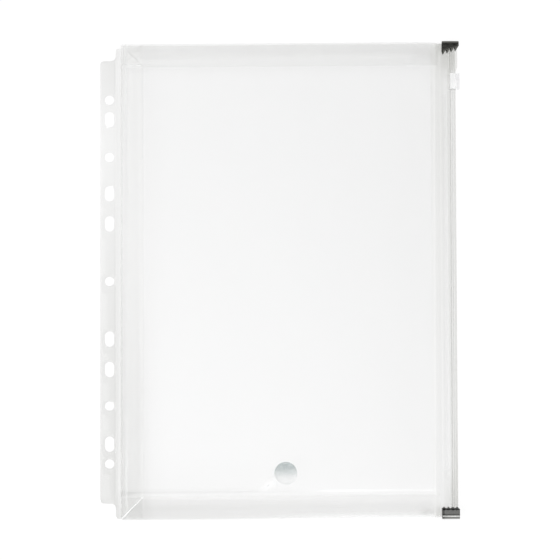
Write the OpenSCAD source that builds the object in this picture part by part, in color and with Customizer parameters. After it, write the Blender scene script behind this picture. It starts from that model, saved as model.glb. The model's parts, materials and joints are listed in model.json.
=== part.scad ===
// Zip binder wallet: a clear film pocket with folded-in gussets on three sides, a press-lock zip with
// a runner on the fourth, and a punched binding strip along the spine. It lies on its back panel.
// X runs from the binding strip to the zip, Y to the top edge, Z up from the table.

/* [Film pocket] */
// Width of the flat part of the front and back panels, spine edge to zip flange
panel_w = 204.5; // [140:0.5:320]
// Height of both panels
panel_h = 312; // [200:1:420]
// Thickness of the panel film
film_t = 0.25; // [0.15:0.05:0.6]
// Outside thickness of the relaxed, empty pocket
pocket_t = 7; // [6:0.5:20]
// Radius of the panel corners at the spine
panel_corner_r = 1.5; // [0.5:0.5:4]

/* [Gussets] */
// Depth of the inward fold, from the panel edge to the fold line
gusset_depth = 15; // [8:0.5:30]
// Thickness of the gusset film
gusset_t = 0.25; // [0.15:0.05:0.6]
// Width of the welded margin along each panel edge
weld_w = 3; // [2:0.5:5]
// Space left between the front and back leaves at the fold line
fold_gap = 0.6; // [0.3:0.1:2]
// Space between the front leaves and the front panel
leaf_gap = 0.1; // [0.05:0.05:0.5]

/* [Binding strip] */
// Thickness of the binding strip
strip_t = 0.5; // [0.3:0.1:1.2]
// Land between the tab's outer edge and the ring holes
land_outer = 3.2; // [1.5:0.1:6]
// Land between the ring holes and the crease
land_inner = 0.5; // [0.3:0.1:6]
// Length of tab left off at each end of the welded margin
tab_inset = 10; // [4:0.5:30]
// Corner radius of the tab
tab_corner_r = 2; // [0.5:0.5:4]
// Radius of the fillet where the tab widens into the crease
flare_r = 2.5; // [0.5:0.5:4]
// Gap left at the crease between tab and margin
crease_gap = 0.6; // [0.6:0.1:1.5]
// Visible width of the welded margin outside the panel edge
margin_w = 3.6; // [2.5:0.1:10]
// Corner radius of the welded margin
margin_corner_r = 2.5; // [0.5:0.5:2.5]

/* [Ring holes] */
// Width of every ring hole
hole_d = 6; // [4.5:0.1:8]
// Length of the long holes
slot_l = 10; // [8:0.5:12]
// Centre hole to the first long hole
step_slot_near = 38; // [25:0.5:60]
// First long hole to the second
step_slot_mid = 20; // [15:0.5:40]
// Second long hole to the first round hole
step_round_near = 24; // [12:0.5:40]
// First round hole to the last long hole
step_slot_far = 25; // [12:0.5:40]
// Last long hole to the last round hole
step_round_far = 13; // [10:0.5:30]
// Least land beyond the last hole at each end of the tab
land_end = 4; // [2:0.5:20]

/* [Zip tracks] */
// Width of the film that the zip flange overlaps
zip_lap = 3; // [2:0.5:6]
// Width of the sloping part of the zip flange
zip_slope_w = 5.6; // [3:0.1:12]
// Width of the flat welded part of the zip flange
zip_flat_w = 5.2; // [4.5:0.1:12]
// Thickness of the zip flange
flange_t = 0.4; // [0.3:0.05:0.8]
// Half the thickness of the two locked tracks together
track_half = 1.7; // [1.5:0.1:2.5]
// Half the space between the inner faces of the two tracks
lip_half = 0.9; // [0.9:0.05:1]
// Inside edge of a track to the near jaw
jaw_inset = 1.2; // [0.8:0.1:3]
// Thickness of each jaw of the groove
jaw_t = 0.6; // [0.4:0.05:1]
// Height of the jaws above the middle plane of the zip
jaw_rise = 0.5; // [0.4:0.05:0.6]
// Inside width of the groove between the jaws
groove_w = 1.8; // [1.6:0.1:3]
// Overhang of the hook on each jaw
hook_w = 0.3; // [0.25:0.05:0.4]
// Thickness of the hook on each jaw
hook_t = 0.35; // [0.25:0.05:0.4]
// Depth of the rib's tip below the middle plane
tip_drop = 0.5; // [0.3:0.05:0.6]
// Width of the tip of the rib
tip_w = 0.8; // [0.4:0.1:1]
// Outer lip beyond the far jaw
lip_w = 1.4; // [1:0.1:3]
// Inside edge of a track to the runner groove
runner_inset = 1.4; // [0.4:0.1:1.5]
// Width of the runner groove on the outside of each track
runner_w = 1.2; // [1:0.1:2]
// Depth of the runner groove
runner_d = 0.5; // [0.4:0.05:0.7]
// Space around the rib in its groove
zip_clear = 0.2; // [0.15:0.05:0.3]
// Length of film beyond each end of the tracks
zip_short = 1; // [0:0.5:4]

/* [Slider] */
// Length of the slider along the zip
slider_l = 10.4; // [8:0.2:20]
// Thickness of the slider's front and back walls
slider_wall = 1.2; // [0.8:0.1:2]
// Thickness of the slider's outer wall
slider_side = 2.4; // [1:0.1:3]
// Space between the slider and the tracks
run_clear = 0.3; // [0.2:0.05:0.5]
// Depth to which the slider's lips reach into the runner grooves
lip_engage = 0.3; // [0.2:0.05:0.4]
// Thickness of the fin between the tracks
fin_t = 0.9; // [0.5:0.1:1.2]
// Length of the fin along the zip
fin_l = 4.5; // [2:0.5:8]
// Corner radius of the slider's outer wall
slider_edge_r = 1; // [0.4:0.1:1.4]
// Space between the slider at rest and the upper clip's teeth
slider_rest_gap = 12.5; // [2:0.5:60]

/* [End clips] */
// Width of the end clips across the zip
clip_w = 11.4; // [10:0.1:16]
// Depth of a clip's plates from the bend to the roots of the teeth
clip_plate_d = 3.6; // [3:0.1:12]
// Length of the clip's teeth
tooth_l = 2.6; // [0.8:0.1:3]
// Number of teeth on each plate
tooth_n = 4; // [3:1:12]
// Thickness of the clip steel
clip_t = 0.5; // [0.3:0.05:0.8]
// Space between the front plate and the front track
clip_gap = 0.2; // [0.1:0.05:0.4]
// Overhang of the upper clip beyond the outer edge of the tracks
top_clip_over = 2.1; // [0.5:0.1:2.5]
// Overhang of the lower clip beyond the outer edge of the tracks
bottom_clip_over = 0.9; // [0.5:0.1:2.5]

/* [Label disc] */
// Diameter of the label disc
label_d = 15; // [8:0.5:40]
// Thickness of the label disc
label_t = 0.15; // [0.1:0.05:0.5]
// Width of the disc's raised rim
label_rim_w = 1; // [0.5:0.1:3]
// Height of the rim over the disc
label_rim_t = 0.1; // [0.05:0.05:0.3]
// Centre of the disc above the bottom edge of the panel
label_up = 29.5; // [15:0.5:150]
// Spine edge of the panel to the centre of the disc
label_in = 108; // [20:0.5:180]

/* [Hidden] */
$fn = 64;
film_colour = [0.93, 0.95, 0.95, 0.35];
fold_colour = [0.88, 0.90, 0.90, 0.5];
strip_colour = [0.90, 0.91, 0.91, 0.7];
zip_colour = [0.86, 0.87, 0.87, 0.8];
slider_colour = [0.95, 0.96, 0.96, 0.7];
top_clip_colour = [0.25, 0.25, 0.23];
bottom_clip_colour = [0.43, 0.43, 0.42];

// Widths that follow from the sizes above, and the places along X
tab_w = land_outer + hole_d + land_inner;
track_w = jaw_inset + 2 * jaw_t + groove_w + lip_w;
slider_over = run_clear + slider_side;
total_w = tab_w + crease_gap + margin_w + panel_w + zip_slope_w + zip_flat_w + track_w
    + max(slider_over, top_clip_over, bottom_clip_over);
tab_x = -total_w / 2;
crease_x = tab_x + tab_w + crease_gap / 2;
margin_x = crease_x + crease_gap / 2;
spine_x = margin_x + margin_w;
panel_end_x = spine_x + panel_w;
flat_x = panel_end_x + zip_slope_w;
track_x = flat_x + zip_flat_w;
track_end_x = track_x + track_w;
jaw_x = track_x + jaw_inset;
groove_x = jaw_x + jaw_t;
far_jaw_x = groove_x + groove_w;
rib_x = groove_x + groove_w / 2;
runner_x = track_x + runner_inset;
hole_x = tab_x + land_outer + hole_d / 2;

// Places along Z
front_z = pocket_t - film_t;
mid_z = pocket_t / 2;
strip_z = film_t;

// Places along Y
tab_l = panel_h - 2 * tab_inset;
clip_in_half = track_half + clip_gap / 2;
clip_out_half = clip_in_half + clip_t;
clip_mid_z = mid_z + clip_gap / 2;
track_l = panel_h - 2 * zip_short;
bend_y = track_l / 2;
tooth_root_y = bend_y - clip_plate_d;
tooth_tip_y = tooth_root_y - tooth_l;
slider_y = tooth_tip_y - slider_rest_gap - slider_l / 2;

// Distances of the long and the round holes from the middle of the tab
slot_near_y = step_slot_near;
slot_mid_y = slot_near_y + step_slot_mid;
round_near_y = slot_mid_y + step_round_near;
slot_far_y = round_near_y + step_slot_far;
round_far_y = slot_far_y + step_round_far;
slot_room = tab_l / 2 - land_end - slot_l / 2;
round_room = tab_l / 2 - land_end - hole_d / 2;
slot_ys = [for (y = [slot_near_y, slot_mid_y, slot_far_y]) if (y <= slot_room) y];
round_ys = [for (y = [round_near_y, round_far_y]) if (y <= round_room) y];

// Rectangle from the origin to +X, centred on Y, with both corners on its left side rounded
module left_rounded(w, h, r) {
    translate([r, -h / 2]) square([w - r, h]);
    translate([0, -h / 2 + r]) square([r, h - 2 * r]);
    for (side = [-1, 1])
        translate([r, side * (h / 2 - r)]) circle(r);
}

// Long hole of a given length along Y
module long_hole(length) {
    run = length - hole_d;
    translate([-hole_d / 2, -run / 2]) square([hole_d, run]);
    for (side = [-1, 1])
        translate([0, side * run / 2]) circle(d = hole_d);
}

// Concave fillet that widens the tab at the crease, at the upper end
module flare() {
    difference() {
        translate([tab_w - flare_r, tab_l / 2]) square(flare_r);
        translate([tab_w - flare_r, tab_l / 2 + flare_r]) circle(flare_r);
    }
}

// Section in X and Z carried along the whole height of the panels
module along_y(length) {
    rotate([90, 0, 0]) linear_extrude(length, center = true) children();
}

// Section of a leaf: distance in from the panel edge against height, welded margin first
function leaf_section(weld_z, fold_z) = [[0, weld_z], [weld_w, weld_z], [gusset_depth, fold_z],
    [gusset_depth, fold_z + gusset_t], [weld_w, weld_z + gusset_t], [0, weld_z + gusset_t]];

back_fold_z = mid_z - fold_gap / 2 - gusset_t;
front_fold_z = mid_z + fold_gap / 2;
front_weld_z = front_z - leaf_gap - gusset_t;
leaf_end_x = panel_end_x - zip_lap - run_clear;

// Leaf along the spine, mitred at both ends
module spine_leaf(weld_z, fold_z) {
    reach = panel_h / 2;
    intersection() {
        translate([spine_x, 0, 0]) along_y(panel_h) polygon(leaf_section(weld_z, fold_z));
        linear_extrude(pocket_t)
            polygon([[spine_x, -reach], [spine_x + gusset_depth, -reach + gusset_depth],
                [spine_x + gusset_depth, reach - gusset_depth], [spine_x, reach]]);
    }
}

// Leaf along the top edge, mitred at the spine
module top_leaf(weld_z, fold_z) {
    reach = panel_h / 2;
    intersection() {
        translate([spine_x, reach, 0])
            rotate([90, 0, 90]) linear_extrude(leaf_end_x - spine_x)
                mirror([1, 0]) polygon(leaf_section(weld_z, fold_z));
        linear_extrude(pocket_t)
            polygon([[spine_x, reach], [spine_x + gusset_depth, reach - gusset_depth],
                [leaf_end_x, reach - gusset_depth], [leaf_end_x, reach]]);
    }
}

// Outside of the lower track from the film lap to the outer edge, as X against height
function track_outside() = [[panel_end_x - zip_lap, film_t], [panel_end_x, film_t],
    [flat_x, mid_z - lip_half - flange_t], [track_x, mid_z - lip_half - flange_t],
    [track_x, mid_z - track_half], [runner_x, mid_z - track_half],
    [runner_x, mid_z - track_half + runner_d], [runner_x + runner_w, mid_z - track_half + runner_d],
    [runner_x + runner_w, mid_z - track_half], [track_end_x, mid_z - track_half],
    [track_end_x, mid_z - lip_half]];

// Inside of the lower flange from the track back to the film lap
function flange_inside() = [[flat_x, mid_z - lip_half], [panel_end_x, film_t + flange_t],
    [panel_end_x - zip_lap, film_t + flange_t]];

// Inside of the grooved track: two hooked jaws, from the outer edge inwards
function jaw_inside() = let (top = mid_z + jaw_rise, under = top - hook_t, floor_z = mid_z - lip_half) [
    [far_jaw_x + jaw_t, floor_z], [far_jaw_x + jaw_t, top], [far_jaw_x - hook_w, top],
    [far_jaw_x - hook_w, under], [far_jaw_x, under], [far_jaw_x, floor_z], [groove_x, floor_z],
    [groove_x, under], [groove_x + hook_w, under], [groove_x + hook_w, top], [jaw_x, top],
    [jaw_x, floor_z]];

// Inside of the ribbed track: a stem with an arrow head, drawn upside down like the rest of the section
function rib_inside() = let (stem = groove_w / 2 - hook_w - zip_clear, head = groove_w / 2 - zip_clear,
    root_z = mid_z - lip_half, shoulder_z = mid_z) [
    [rib_x + stem, root_z], [rib_x + stem, shoulder_z], [rib_x + head, shoulder_z],
    [rib_x + tip_w / 2, mid_z + tip_drop], [rib_x - tip_w / 2, mid_z + tip_drop],
    [rib_x - head, shoulder_z], [rib_x - stem, shoulder_z], [rib_x - stem, root_z]];

// Slider section: a channel round both tracks, open towards the pocket, with lips in the runner grooves
module slider_section() {
    left = runner_x + zip_clear;
    lip = runner_w - 2 * zip_clear;
    inner = track_half + run_clear;
    outer = inner + slider_wall;
    right = track_end_x + slider_over;
    mouth = track_half - lip_engage;
    difference() {
        translate([right, 0]) mirror([1, 0]) left_rounded(right - left, 2 * outer, slider_edge_r);
        translate([left + lip, -inner]) square([track_end_x + run_clear - left - lip, 2 * inner]);
        translate([left, -mouth]) square([lip, 2 * mouth]);
    }
}

// Zigzag plate of an end clip at the upper end of the zip, from the bend to the tooth tips
module clip_plate() {
    pitch = clip_w / tooth_n;
    teeth = [for (i = [0 : tooth_n - 1]) each [[i * pitch, tooth_root_y], [(i + 0.5) * pitch, tooth_tip_y]]];
    polygon(concat([[0, bend_y]], teeth, [[clip_w, tooth_root_y], [clip_w, bend_y]]));
}

// End clip at the upper end: two toothed plates joined by a round bend, reaching over the outer edge of the tracks
module end_clip(over) {
    translate([track_end_x + over - clip_w, 0, clip_mid_z]) {
        for (z = [clip_in_half, -clip_out_half])
            translate([0, 0, z]) linear_extrude(clip_t) clip_plate();
        translate([0, bend_y, 0]) rotate([90, 0, 90]) linear_extrude(clip_w)
            difference() {
                circle(clip_out_half);
                circle(clip_in_half);
                translate([-clip_out_half, -clip_out_half]) square([clip_out_half, 2 * clip_out_half]);
            }
    }
}

module back_panel() {
    color(film_colour) translate([spine_x, 0, 0])
        linear_extrude(film_t) left_rounded(panel_w, panel_h, panel_corner_r);
}

module front_panel() {
    color(film_colour) translate([spine_x, 0, front_z])
        linear_extrude(film_t) left_rounded(panel_w, panel_h, panel_corner_r);
}

module spine_gusset_back() {
    color(fold_colour) spine_leaf(strip_z + strip_t, back_fold_z);
}

module spine_gusset_front() {
    color(fold_colour) spine_leaf(front_weld_z, front_fold_z);
}

module top_gusset_back() {
    color(fold_colour) top_leaf(film_t, back_fold_z);
}

module top_gusset_front() {
    color(fold_colour) top_leaf(front_weld_z, front_fold_z);
}

module bottom_gusset_back() {
    color(fold_colour) mirror([0, 1, 0]) top_leaf(film_t, back_fold_z);
}

module bottom_gusset_front() {
    color(fold_colour) mirror([0, 1, 0]) top_leaf(front_weld_z, front_fold_z);
}

module strip_margin() {
    reach = panel_h / 2;
    color(strip_colour) translate([margin_x, 0, strip_z]) linear_extrude(strip_t) {
        left_rounded(margin_w, panel_h, margin_corner_r);
        translate([margin_w, 0])
            polygon([[0, -reach], [weld_w, weld_w - reach], [weld_w, reach - weld_w], [0, reach]]);
    }
}

module binding_tab() {
    color(strip_colour) translate([tab_x, 0, strip_z]) linear_extrude(strip_t)
        difference() {
            union() {
                left_rounded(tab_w, tab_l, tab_corner_r);
                flare();
                mirror([0, 1]) flare();
            }
            translate([hole_x - tab_x, 0]) {
                circle(d = hole_d);
                for (side = [-1, 1]) {
                    for (y = round_ys)
                        translate([0, side * y]) circle(d = hole_d);
                    for (y = slot_ys)
                        translate([0, side * y]) long_hole(slot_l);
                }
            }
        }
}

module zip_track_back() {
    color(zip_colour) along_y(track_l)
        polygon(concat(track_outside(), jaw_inside(), [[track_x, mid_z - lip_half]], flange_inside()));
}

module zip_track_front() {
    color(zip_colour) translate([0, 0, pocket_t]) mirror([0, 0, 1]) along_y(track_l)
        polygon(concat(track_outside(), rib_inside(), [[track_x, mid_z - lip_half]], flange_inside()));
}

module slider() {
    fin_x = far_jaw_x + jaw_t + run_clear;
    fin_w = track_end_x + slider_over - slider_edge_r - fin_x;
    color(slider_colour) translate([0, slider_y, mid_z]) {
        along_y(slider_l) slider_section();
        translate([fin_x, slider_l / 2 - fin_l, -fin_t / 2]) cube([fin_w, fin_l, fin_t]);
    }
}

module top_end_clip() {
    color(top_clip_colour) end_clip(top_clip_over);
}

module bottom_end_clip() {
    color(bottom_clip_colour) mirror([0, 1, 0]) end_clip(bottom_clip_over);
}

module label_disc() {
    color(film_colour) translate([spine_x + label_in, label_up - panel_h / 2, pocket_t]) {
        cylinder(d = label_d, h = label_t);
        difference() {
            cylinder(d = label_d, h = label_t + label_rim_t);
            cylinder(d = label_d - 2 * label_rim_w, h = label_t + label_rim_t);
        }
    }
}

back_panel();
front_panel();
spine_gusset_back();
spine_gusset_front();
top_gusset_back();
top_gusset_front();
bottom_gusset_back();
bottom_gusset_front();
strip_margin();
binding_tab();
zip_track_back();
zip_track_front();
slider();
top_end_clip();
bottom_end_clip();
label_disc();
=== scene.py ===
"""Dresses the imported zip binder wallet: film, folded gussets, press-lock zip, runner, clips and strip.

Lengths are in metres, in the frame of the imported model: X runs from the binding strip to the zip, Y to the
top edge and Z up from the table.
"""

import json
import logging
import math
from dataclasses import dataclass, field
from enum import Enum
from typing import Optional, Sequence

import bmesh
import bpy
import numpy as np
from mathutils import Euler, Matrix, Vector
from mathutils.geometry import delaunay_2d_cdt


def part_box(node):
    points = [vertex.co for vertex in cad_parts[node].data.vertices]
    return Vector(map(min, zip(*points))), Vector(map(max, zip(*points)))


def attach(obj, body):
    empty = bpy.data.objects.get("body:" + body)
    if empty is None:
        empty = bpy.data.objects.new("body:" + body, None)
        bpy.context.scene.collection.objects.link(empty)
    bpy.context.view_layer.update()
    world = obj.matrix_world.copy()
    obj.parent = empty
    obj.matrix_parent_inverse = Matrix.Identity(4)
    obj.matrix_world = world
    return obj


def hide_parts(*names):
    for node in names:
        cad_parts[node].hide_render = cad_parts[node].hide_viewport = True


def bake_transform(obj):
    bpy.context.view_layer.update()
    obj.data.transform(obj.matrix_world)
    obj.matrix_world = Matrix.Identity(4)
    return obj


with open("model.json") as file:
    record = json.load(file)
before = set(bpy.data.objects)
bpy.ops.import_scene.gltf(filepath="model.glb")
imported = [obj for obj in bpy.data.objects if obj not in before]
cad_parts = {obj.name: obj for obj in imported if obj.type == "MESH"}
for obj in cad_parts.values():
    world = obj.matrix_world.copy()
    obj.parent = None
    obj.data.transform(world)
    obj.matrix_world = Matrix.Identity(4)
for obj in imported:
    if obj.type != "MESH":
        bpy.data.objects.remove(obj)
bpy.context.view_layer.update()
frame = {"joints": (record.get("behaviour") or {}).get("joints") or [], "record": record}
SHADE = "shade"
WHITENING_AND_HIGHLIGHT = "bloom"
ASKEW = 0.0007
ASKEW_X = (-0.1, 0.1)
SAME_PLACE = 1e-7
MM_PER_M = 1000.0
Array = np.ndarray
log = logging.getLogger("zip_binder_wallet")


class Half(Enum):
    """The part of the wallet's height that a piece covers, as signs of Y at its two ends."""

    WHOLE = (-1.0, 1.0)
    LOWER = (-1.0, 0.0)
    UPPER = (0.0, 1.0)


class Side(Enum):
    """The edge of the pocket that a gusset closes."""

    SPINE = "spine"
    TOP = "top"
    BOTTOM = "bottom"


def corners_of(node: str) -> tuple[Array, Array]:
    """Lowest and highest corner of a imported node, as arrays."""
    low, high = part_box(node)
    return np.array(low), np.array(high)


def joint_place(name: str) -> Array:
    """A point on the axis of a packed hinge."""
    return np.array(next(j["pos_m"] for j in frame["joints"] if j["name"] == name))


def ease(value: Array, start: float, end: float) -> Array:
    """Smooth step from 0 at start to 1 at end: 3 t^2 - 2 t^3 of the clamped share t."""
    share = np.clip((value - start) / (end - start), 0.0, 1.0)
    return share * share * (3.0 - 2.0 * share)


def ridge(value: Array, middle: float, half_width: float) -> Array:
    """Round ridge of height 1 at middle, falling to 0 at half_width: a squared cosine."""
    share = np.clip(np.abs(value - middle) / half_width, 0.0, 1.0)
    return np.cos(share * math.pi / 2) ** 2


class Along(Enum):
    """What a soft tone is measured along."""

    X = "place across the wallet"
    Y = "place up the wallet"
    HEIGHT = "distance from the middle of the height"
    SPINE = "distance in from the spine edge"
    LOW = "distance up from the lower edge"
    TOP = "distance down from the top edge"
    MITRE = "distance from the mitre of a folded corner"
    CROSS = "distance from the other diagonal of a folded corner"
    UPPER_CORNER = "1 inside the upper folded corner, else 0"
    LOWER_CORNER = "1 inside the lower folded corner, else 0"
    STRIPES = "wave across the lower band, from -1 to 1"
    SMEAR = "place along the smear"
    OFF_GLARE = "distance from the middle line of the smear"
    FLANGE = "distance past the zip edge of the film"
    OVER = "distance past the inside edge of the zip track"
    TAB = "distance in from the free edge of the tab"
    CREASE = "distance in from the crease of the strip"


@dataclass(frozen=True)
class Tone:
    """One soft patch of tone: a strength times smooth steps, round ridges and plain factors.

    A step is a direction, where it starts and where it is full, and it falls where the start is the larger.
    A ridge is a direction, its middle and its half width.
    """

    strength: float
    steps: Sequence[tuple[Along, float, float]] = ()
    ridges: Sequence[tuple[Along, float, float]] = ()
    times: Sequence[Along] = ()

    def over(self, places: dict[Along, Array]) -> Array:
        """The tone at every point: its strength times all its steps, ridges and factors.

        Args:
            places: What tones are measured along, at every point.

        Returns:
            One value for each point.
        """
        parts = [ease(places[along], start, end) for along, start, end in self.steps]
        parts += [ridge(places[along], middle, half_width) for along, middle, half_width in self.ridges]
        parts += [places[along] for along in self.times]
        return self.strength * math.prod(parts)


def toned(tones: dict[str, Tone], places: dict[Along, Array]) -> Array:
    """Sum of named tones at every point."""
    return sum(tone.over(places) for tone in tones.values())


def graded(start: float, end: float, coarse: float, fine: float, margins: tuple[float, float]) -> Array:
    """Places from start to end, a fine step apart near the two ends and a coarse step between.

    Args:
        start: First place.
        end: Last place, beyond start.
        coarse: Step in the middle.
        fine: Step near the ends.
        margins: Widths of the finely stepped zones at the start and at the end.

    Returns:
        Rising places.
    """
    first, last = start + margins[0], end - margins[1]
    near = np.linspace(start, first, max(1, round(margins[0] / fine)) + 1)
    middle = np.linspace(first, last, max(1, round((last - first) / coarse)) + 1)
    far = np.linspace(last, end, max(1, round(margins[1] / fine)) + 1)
    return np.concatenate([near[:-1], middle, far[1:]])


@dataclass
class Skin:
    """A closed mesh in the making: its points, and its faces as arrays of point numbers."""

    points: Array
    faces: list[Array]

    def joined(self, *others: "Skin") -> "Skin":
        """This skin and others as one mesh of separate closed shells.

        Args:
            others: The skins to add.

        Returns:
            The joined skin.
        """
        skins = [self, *others]
        first = np.cumsum([0] + [len(s.points) for s in skins[:-1]])
        faces = [f + n for s, n in zip(skins, first) for f in s.faces]
        return Skin(np.concatenate([s.points for s in skins]), faces)

    def repeated(self, offsets: Array) -> "Skin":
        """Copies of this skin, each moved by one row of offsets.

        Args:
            offsets: Moves, count by 3.

        Returns:
            All the copies as one skin.
        """
        count = len(self.points)
        points = (self.points[None] + offsets[:, None]).reshape(-1, 3)
        steps = count * np.arange(len(offsets))[:, None, None]
        return Skin(points, [(f[None] + steps).reshape(-1, f.shape[1]) for f in self.faces])


def shell(upper: Array, lower: Array) -> Skin:
    """Closed wall between two surfaces on one grid: both faces, and quads round the rim.

    Args:
        upper: Points of one face, rows by columns by 3.
        lower: Points of the other face on the same grid.

    Returns:
        The closed skin.
    """
    rows, columns = upper.shape[:2]
    index = np.arange(rows * columns).reshape(rows, columns)
    quads = np.stack([index[:-1, :-1], index[1:, :-1], index[1:, 1:], index[:-1, 1:]], -1).reshape(-1, 4)
    rim = np.concatenate([index[:-1, 0], index[-1, :-1], index[:0:-1, -1], index[0, :0:-1]])
    ahead = np.roll(rim, -1)
    below = rows * columns
    sides = np.stack([rim + below, ahead + below, ahead, rim], -1)
    points = np.concatenate([upper.reshape(-1, 3), lower.reshape(-1, 3)])
    return Skin(points, [quads, quads[:, ::-1] + below, sides])


def swept(loops: Array) -> Skin:
    """Closed loops carried along a path, with a flat cap on each end.

    Args:
        loops: Points of the loops, stations by points by 3.

    Returns:
        The closed skin.
    """
    stations, count = loops.shape[:2]
    index = np.arange(stations * count).reshape(stations, count)
    ahead = np.roll(index, -1, axis=1)
    quads = np.stack([index[:-1], ahead[:-1], ahead[1:], index[1:]], -1).reshape(-1, 4)
    return Skin(loops.reshape(-1, 3), [quads, index[:1, ::-1], index[-1:]])


def filleted(corners: Array, radii: Array, steps: int = 5, most: float = 0.49) -> Array:
    """Closed outline with each corner replaced by a quadratic curve that is tangent to both its sides.

    Args:
        corners: Corner points, count by 2.
        radii: Distance from each corner at which its curve starts and ends.
        steps: Straight pieces in each curve.
        most: Largest share of a side that one curve takes.

    Returns:
        Outline points, count by 2.
    """
    back = np.roll(corners, 1, axis=0) - corners
    ahead = np.roll(corners, -1, axis=0) - corners
    back_length = np.linalg.norm(back, axis=1)
    ahead_length = np.linalg.norm(ahead, axis=1)
    reach = np.minimum(radii, most * np.minimum(back_length, ahead_length))
    first = corners + back * (reach / back_length)[:, None]
    last = corners + ahead * (reach / ahead_length)[:, None]
    t = np.linspace(0.0, 1.0, steps + 1)[None, :, None]
    curves = (1 - t) ** 2 * first[:, None] + 2 * t * (1 - t) * corners[:, None] + t**2 * last[:, None]
    return curves.reshape(-1, 2)


def subdivided(outline: Array, step: float) -> Array:
    """Closed outline with extra points along its sides, so that no side is much longer than a step.

    Args:
        outline: Outline points, count by 2.
        step: Distance between the extra points. One that is close to an old point is dropped.

    Returns:
        Outline points, count by 2.
    """
    closed = np.concatenate([outline, outline[:1]])
    along = np.concatenate([[0.0], np.cumsum(np.linalg.norm(np.diff(closed, axis=0), axis=1))])
    extra = np.arange(0.0, along[-1], step)
    clear = np.abs(extra[:, None] - along[None]).min(axis=1) > step / 4
    places = np.sort(np.concatenate([along[:-1], extra[clear]]))
    return np.stack([np.interp(places, along, closed[:, k]) for k in (0, 1)], -1)


def left_normals(outline: Array) -> Array:
    """Unit normals of a closed outline, square to the line between each point's two neighbours.

    Args:
        outline: Outline points, count by 2.

    Returns:
        Normals to the left of the way round, count by 2.
    """
    tangent = np.roll(outline, -1, axis=0) - np.roll(outline, 1, axis=0)
    tangent /= np.linalg.norm(tangent, axis=1, keepdims=True)
    return np.stack([-tangent[:, 1], tangent[:, 0]], -1)


def put(name: str, skin: Skin, material: bpy.types.Material, sharp_deg: float = 35.0,
        shade: Optional[Array] = None, bloom: Optional[Array] = None,
        askew: float = ASKEW) -> bpy.types.Object:
    """Makes a mesh object at the origin from a skin, smooth apart from its sharp edges.

    The soft wallet lies a little out of square: Y grows on a smooth step from the spine to the zip.

    Args:
        name: Piece name.
        skin: Points and faces in the row frame.
        material: The piece's finish.
        sharp_deg: Angle between faces above which an edge stays sharp.
        shade: How far each point takes the darker tint, 0 to 1: painted shade and stress at welds and
            creases.
        bloom: Whitening at welds and bends and painted highlights, 0 to 1, at each point.
        askew: Growth of Y from the spine to the zip.

    Returns:
        The new object, linked to the scene.
    """
    mesh = bpy.data.meshes.new(name)
    points = skin.points.copy()
    points[:, 1] += askew * ease(points[:, 0], *ASKEW_X)
    mesh.from_pydata(points.tolist(), [], [row for f in skin.faces for row in f.tolist()])
    for label, values in ((SHADE, shade), (WHITENING_AND_HIGHLIGHT, bloom)):
        if values is not None:
            layer = mesh.attributes.new(label, "FLOAT", "POINT")
            layer.data.foreach_set("value", np.clip(values, 0.0, 1.0).ravel().astype(np.float32))
    cleaned = bmesh.new()
    cleaned.from_mesh(mesh)
    bmesh.ops.remove_doubles(cleaned, verts=cleaned.verts, dist=SAME_PLACE)
    bmesh.ops.recalc_face_normals(cleaned, faces=cleaned.faces)
    cleaned.to_mesh(mesh)
    cleaned.free()
    mesh.polygons.foreach_set("use_smooth", np.ones(len(mesh.polygons), bool))
    mesh.set_sharp_from_angle(angle=math.radians(sharp_deg))
    mesh.materials.append(material)
    piece = bpy.data.objects.new(name, mesh)
    bpy.context.scene.collection.objects.link(piece)
    log.info("%s: %d faces", name, len(mesh.polygons))
    return piece


class Graph:
    """Short ways to add and join the nodes of one tree."""

    def __init__(self, tree: bpy.types.NodeTree) -> None:
        """Keeps the tree to work on, emptied."""
        self.tree = tree
        tree.nodes.clear()

    def add(self, kind: str, inputs: Optional[dict] = None, **settings: object) -> bpy.types.Node:
        """Adds a node, sets its properties, and joins or fills its inputs.

        Args:
            kind: Blender's type name of the node, without the ShaderNode in front.
            inputs: An output socket to join or a value to set, by input name or number.
            settings: The node's own properties.

        Returns:
            The new node.
        """
        node = self.tree.nodes.new("ShaderNode" + kind)
        for key, value in settings.items():
            setattr(node, key, value)
        for key, value in (inputs or {}).items():
            if isinstance(value, bpy.types.NodeSocket):
                self.tree.links.new(value, node.inputs[key])
            else:
                node.inputs[key].default_value = value
        return node

    def maths(self, operation: str, *values: object) -> bpy.types.NodeSocket:
        """The result of a Math node on sockets or numbers."""
        return self.add("Math", dict(enumerate(values)), operation=operation).outputs[0]

    def step(self, value: bpy.types.NodeSocket, ends: Sequence[float],
             levels: Sequence[float] = (0.0, 1.0)) -> bpy.types.NodeSocket:
        """A smooth step of a value between two ends.

        Args:
            value: The socket to step.
            ends: Where the step starts and ends.
            levels: What it gives at the two ends.

        Returns:
            The stepped value.
        """
        span = {"Value": value, "From Min": ends[0], "From Max": ends[1], "To Min": levels[0],
                "To Max": levels[1]}
        return self.add("MapRange", span, interpolation_type="SMOOTHSTEP").outputs[0]

    def mixed(self, share: bpy.types.NodeSocket, first: object, second: object) -> bpy.types.NodeSocket:
        """The result of a colour Mix node on sockets or colours."""
        return self.add("Mix", {0: share, 6: first, 7: second}, data_type="RGBA").outputs[2]

    def end(self, surface: bpy.types.NodeSocket) -> None:
        """Joins a shader to the material's output."""
        self.add("OutputMaterial", {"Surface": surface})


def new_graph(name: str) -> tuple[bpy.types.Material, Graph]:
    """Makes a material.

    Args:
        name: The material's name.

    Returns:
        The material and the graph of its nodes.
    """
    material = bpy.data.materials.new(name)
    material.use_nodes = True
    return material, Graph(material.node_tree)


SCUFFS_PER_SMUDGE = 24.0
SMUDGE_RANGE = (0.35, 0.7)
WEAR_SHARES = (0.6, 0.25, 0.15)
HEIGHT_SHARES = (0.4, 0.6)


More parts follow.
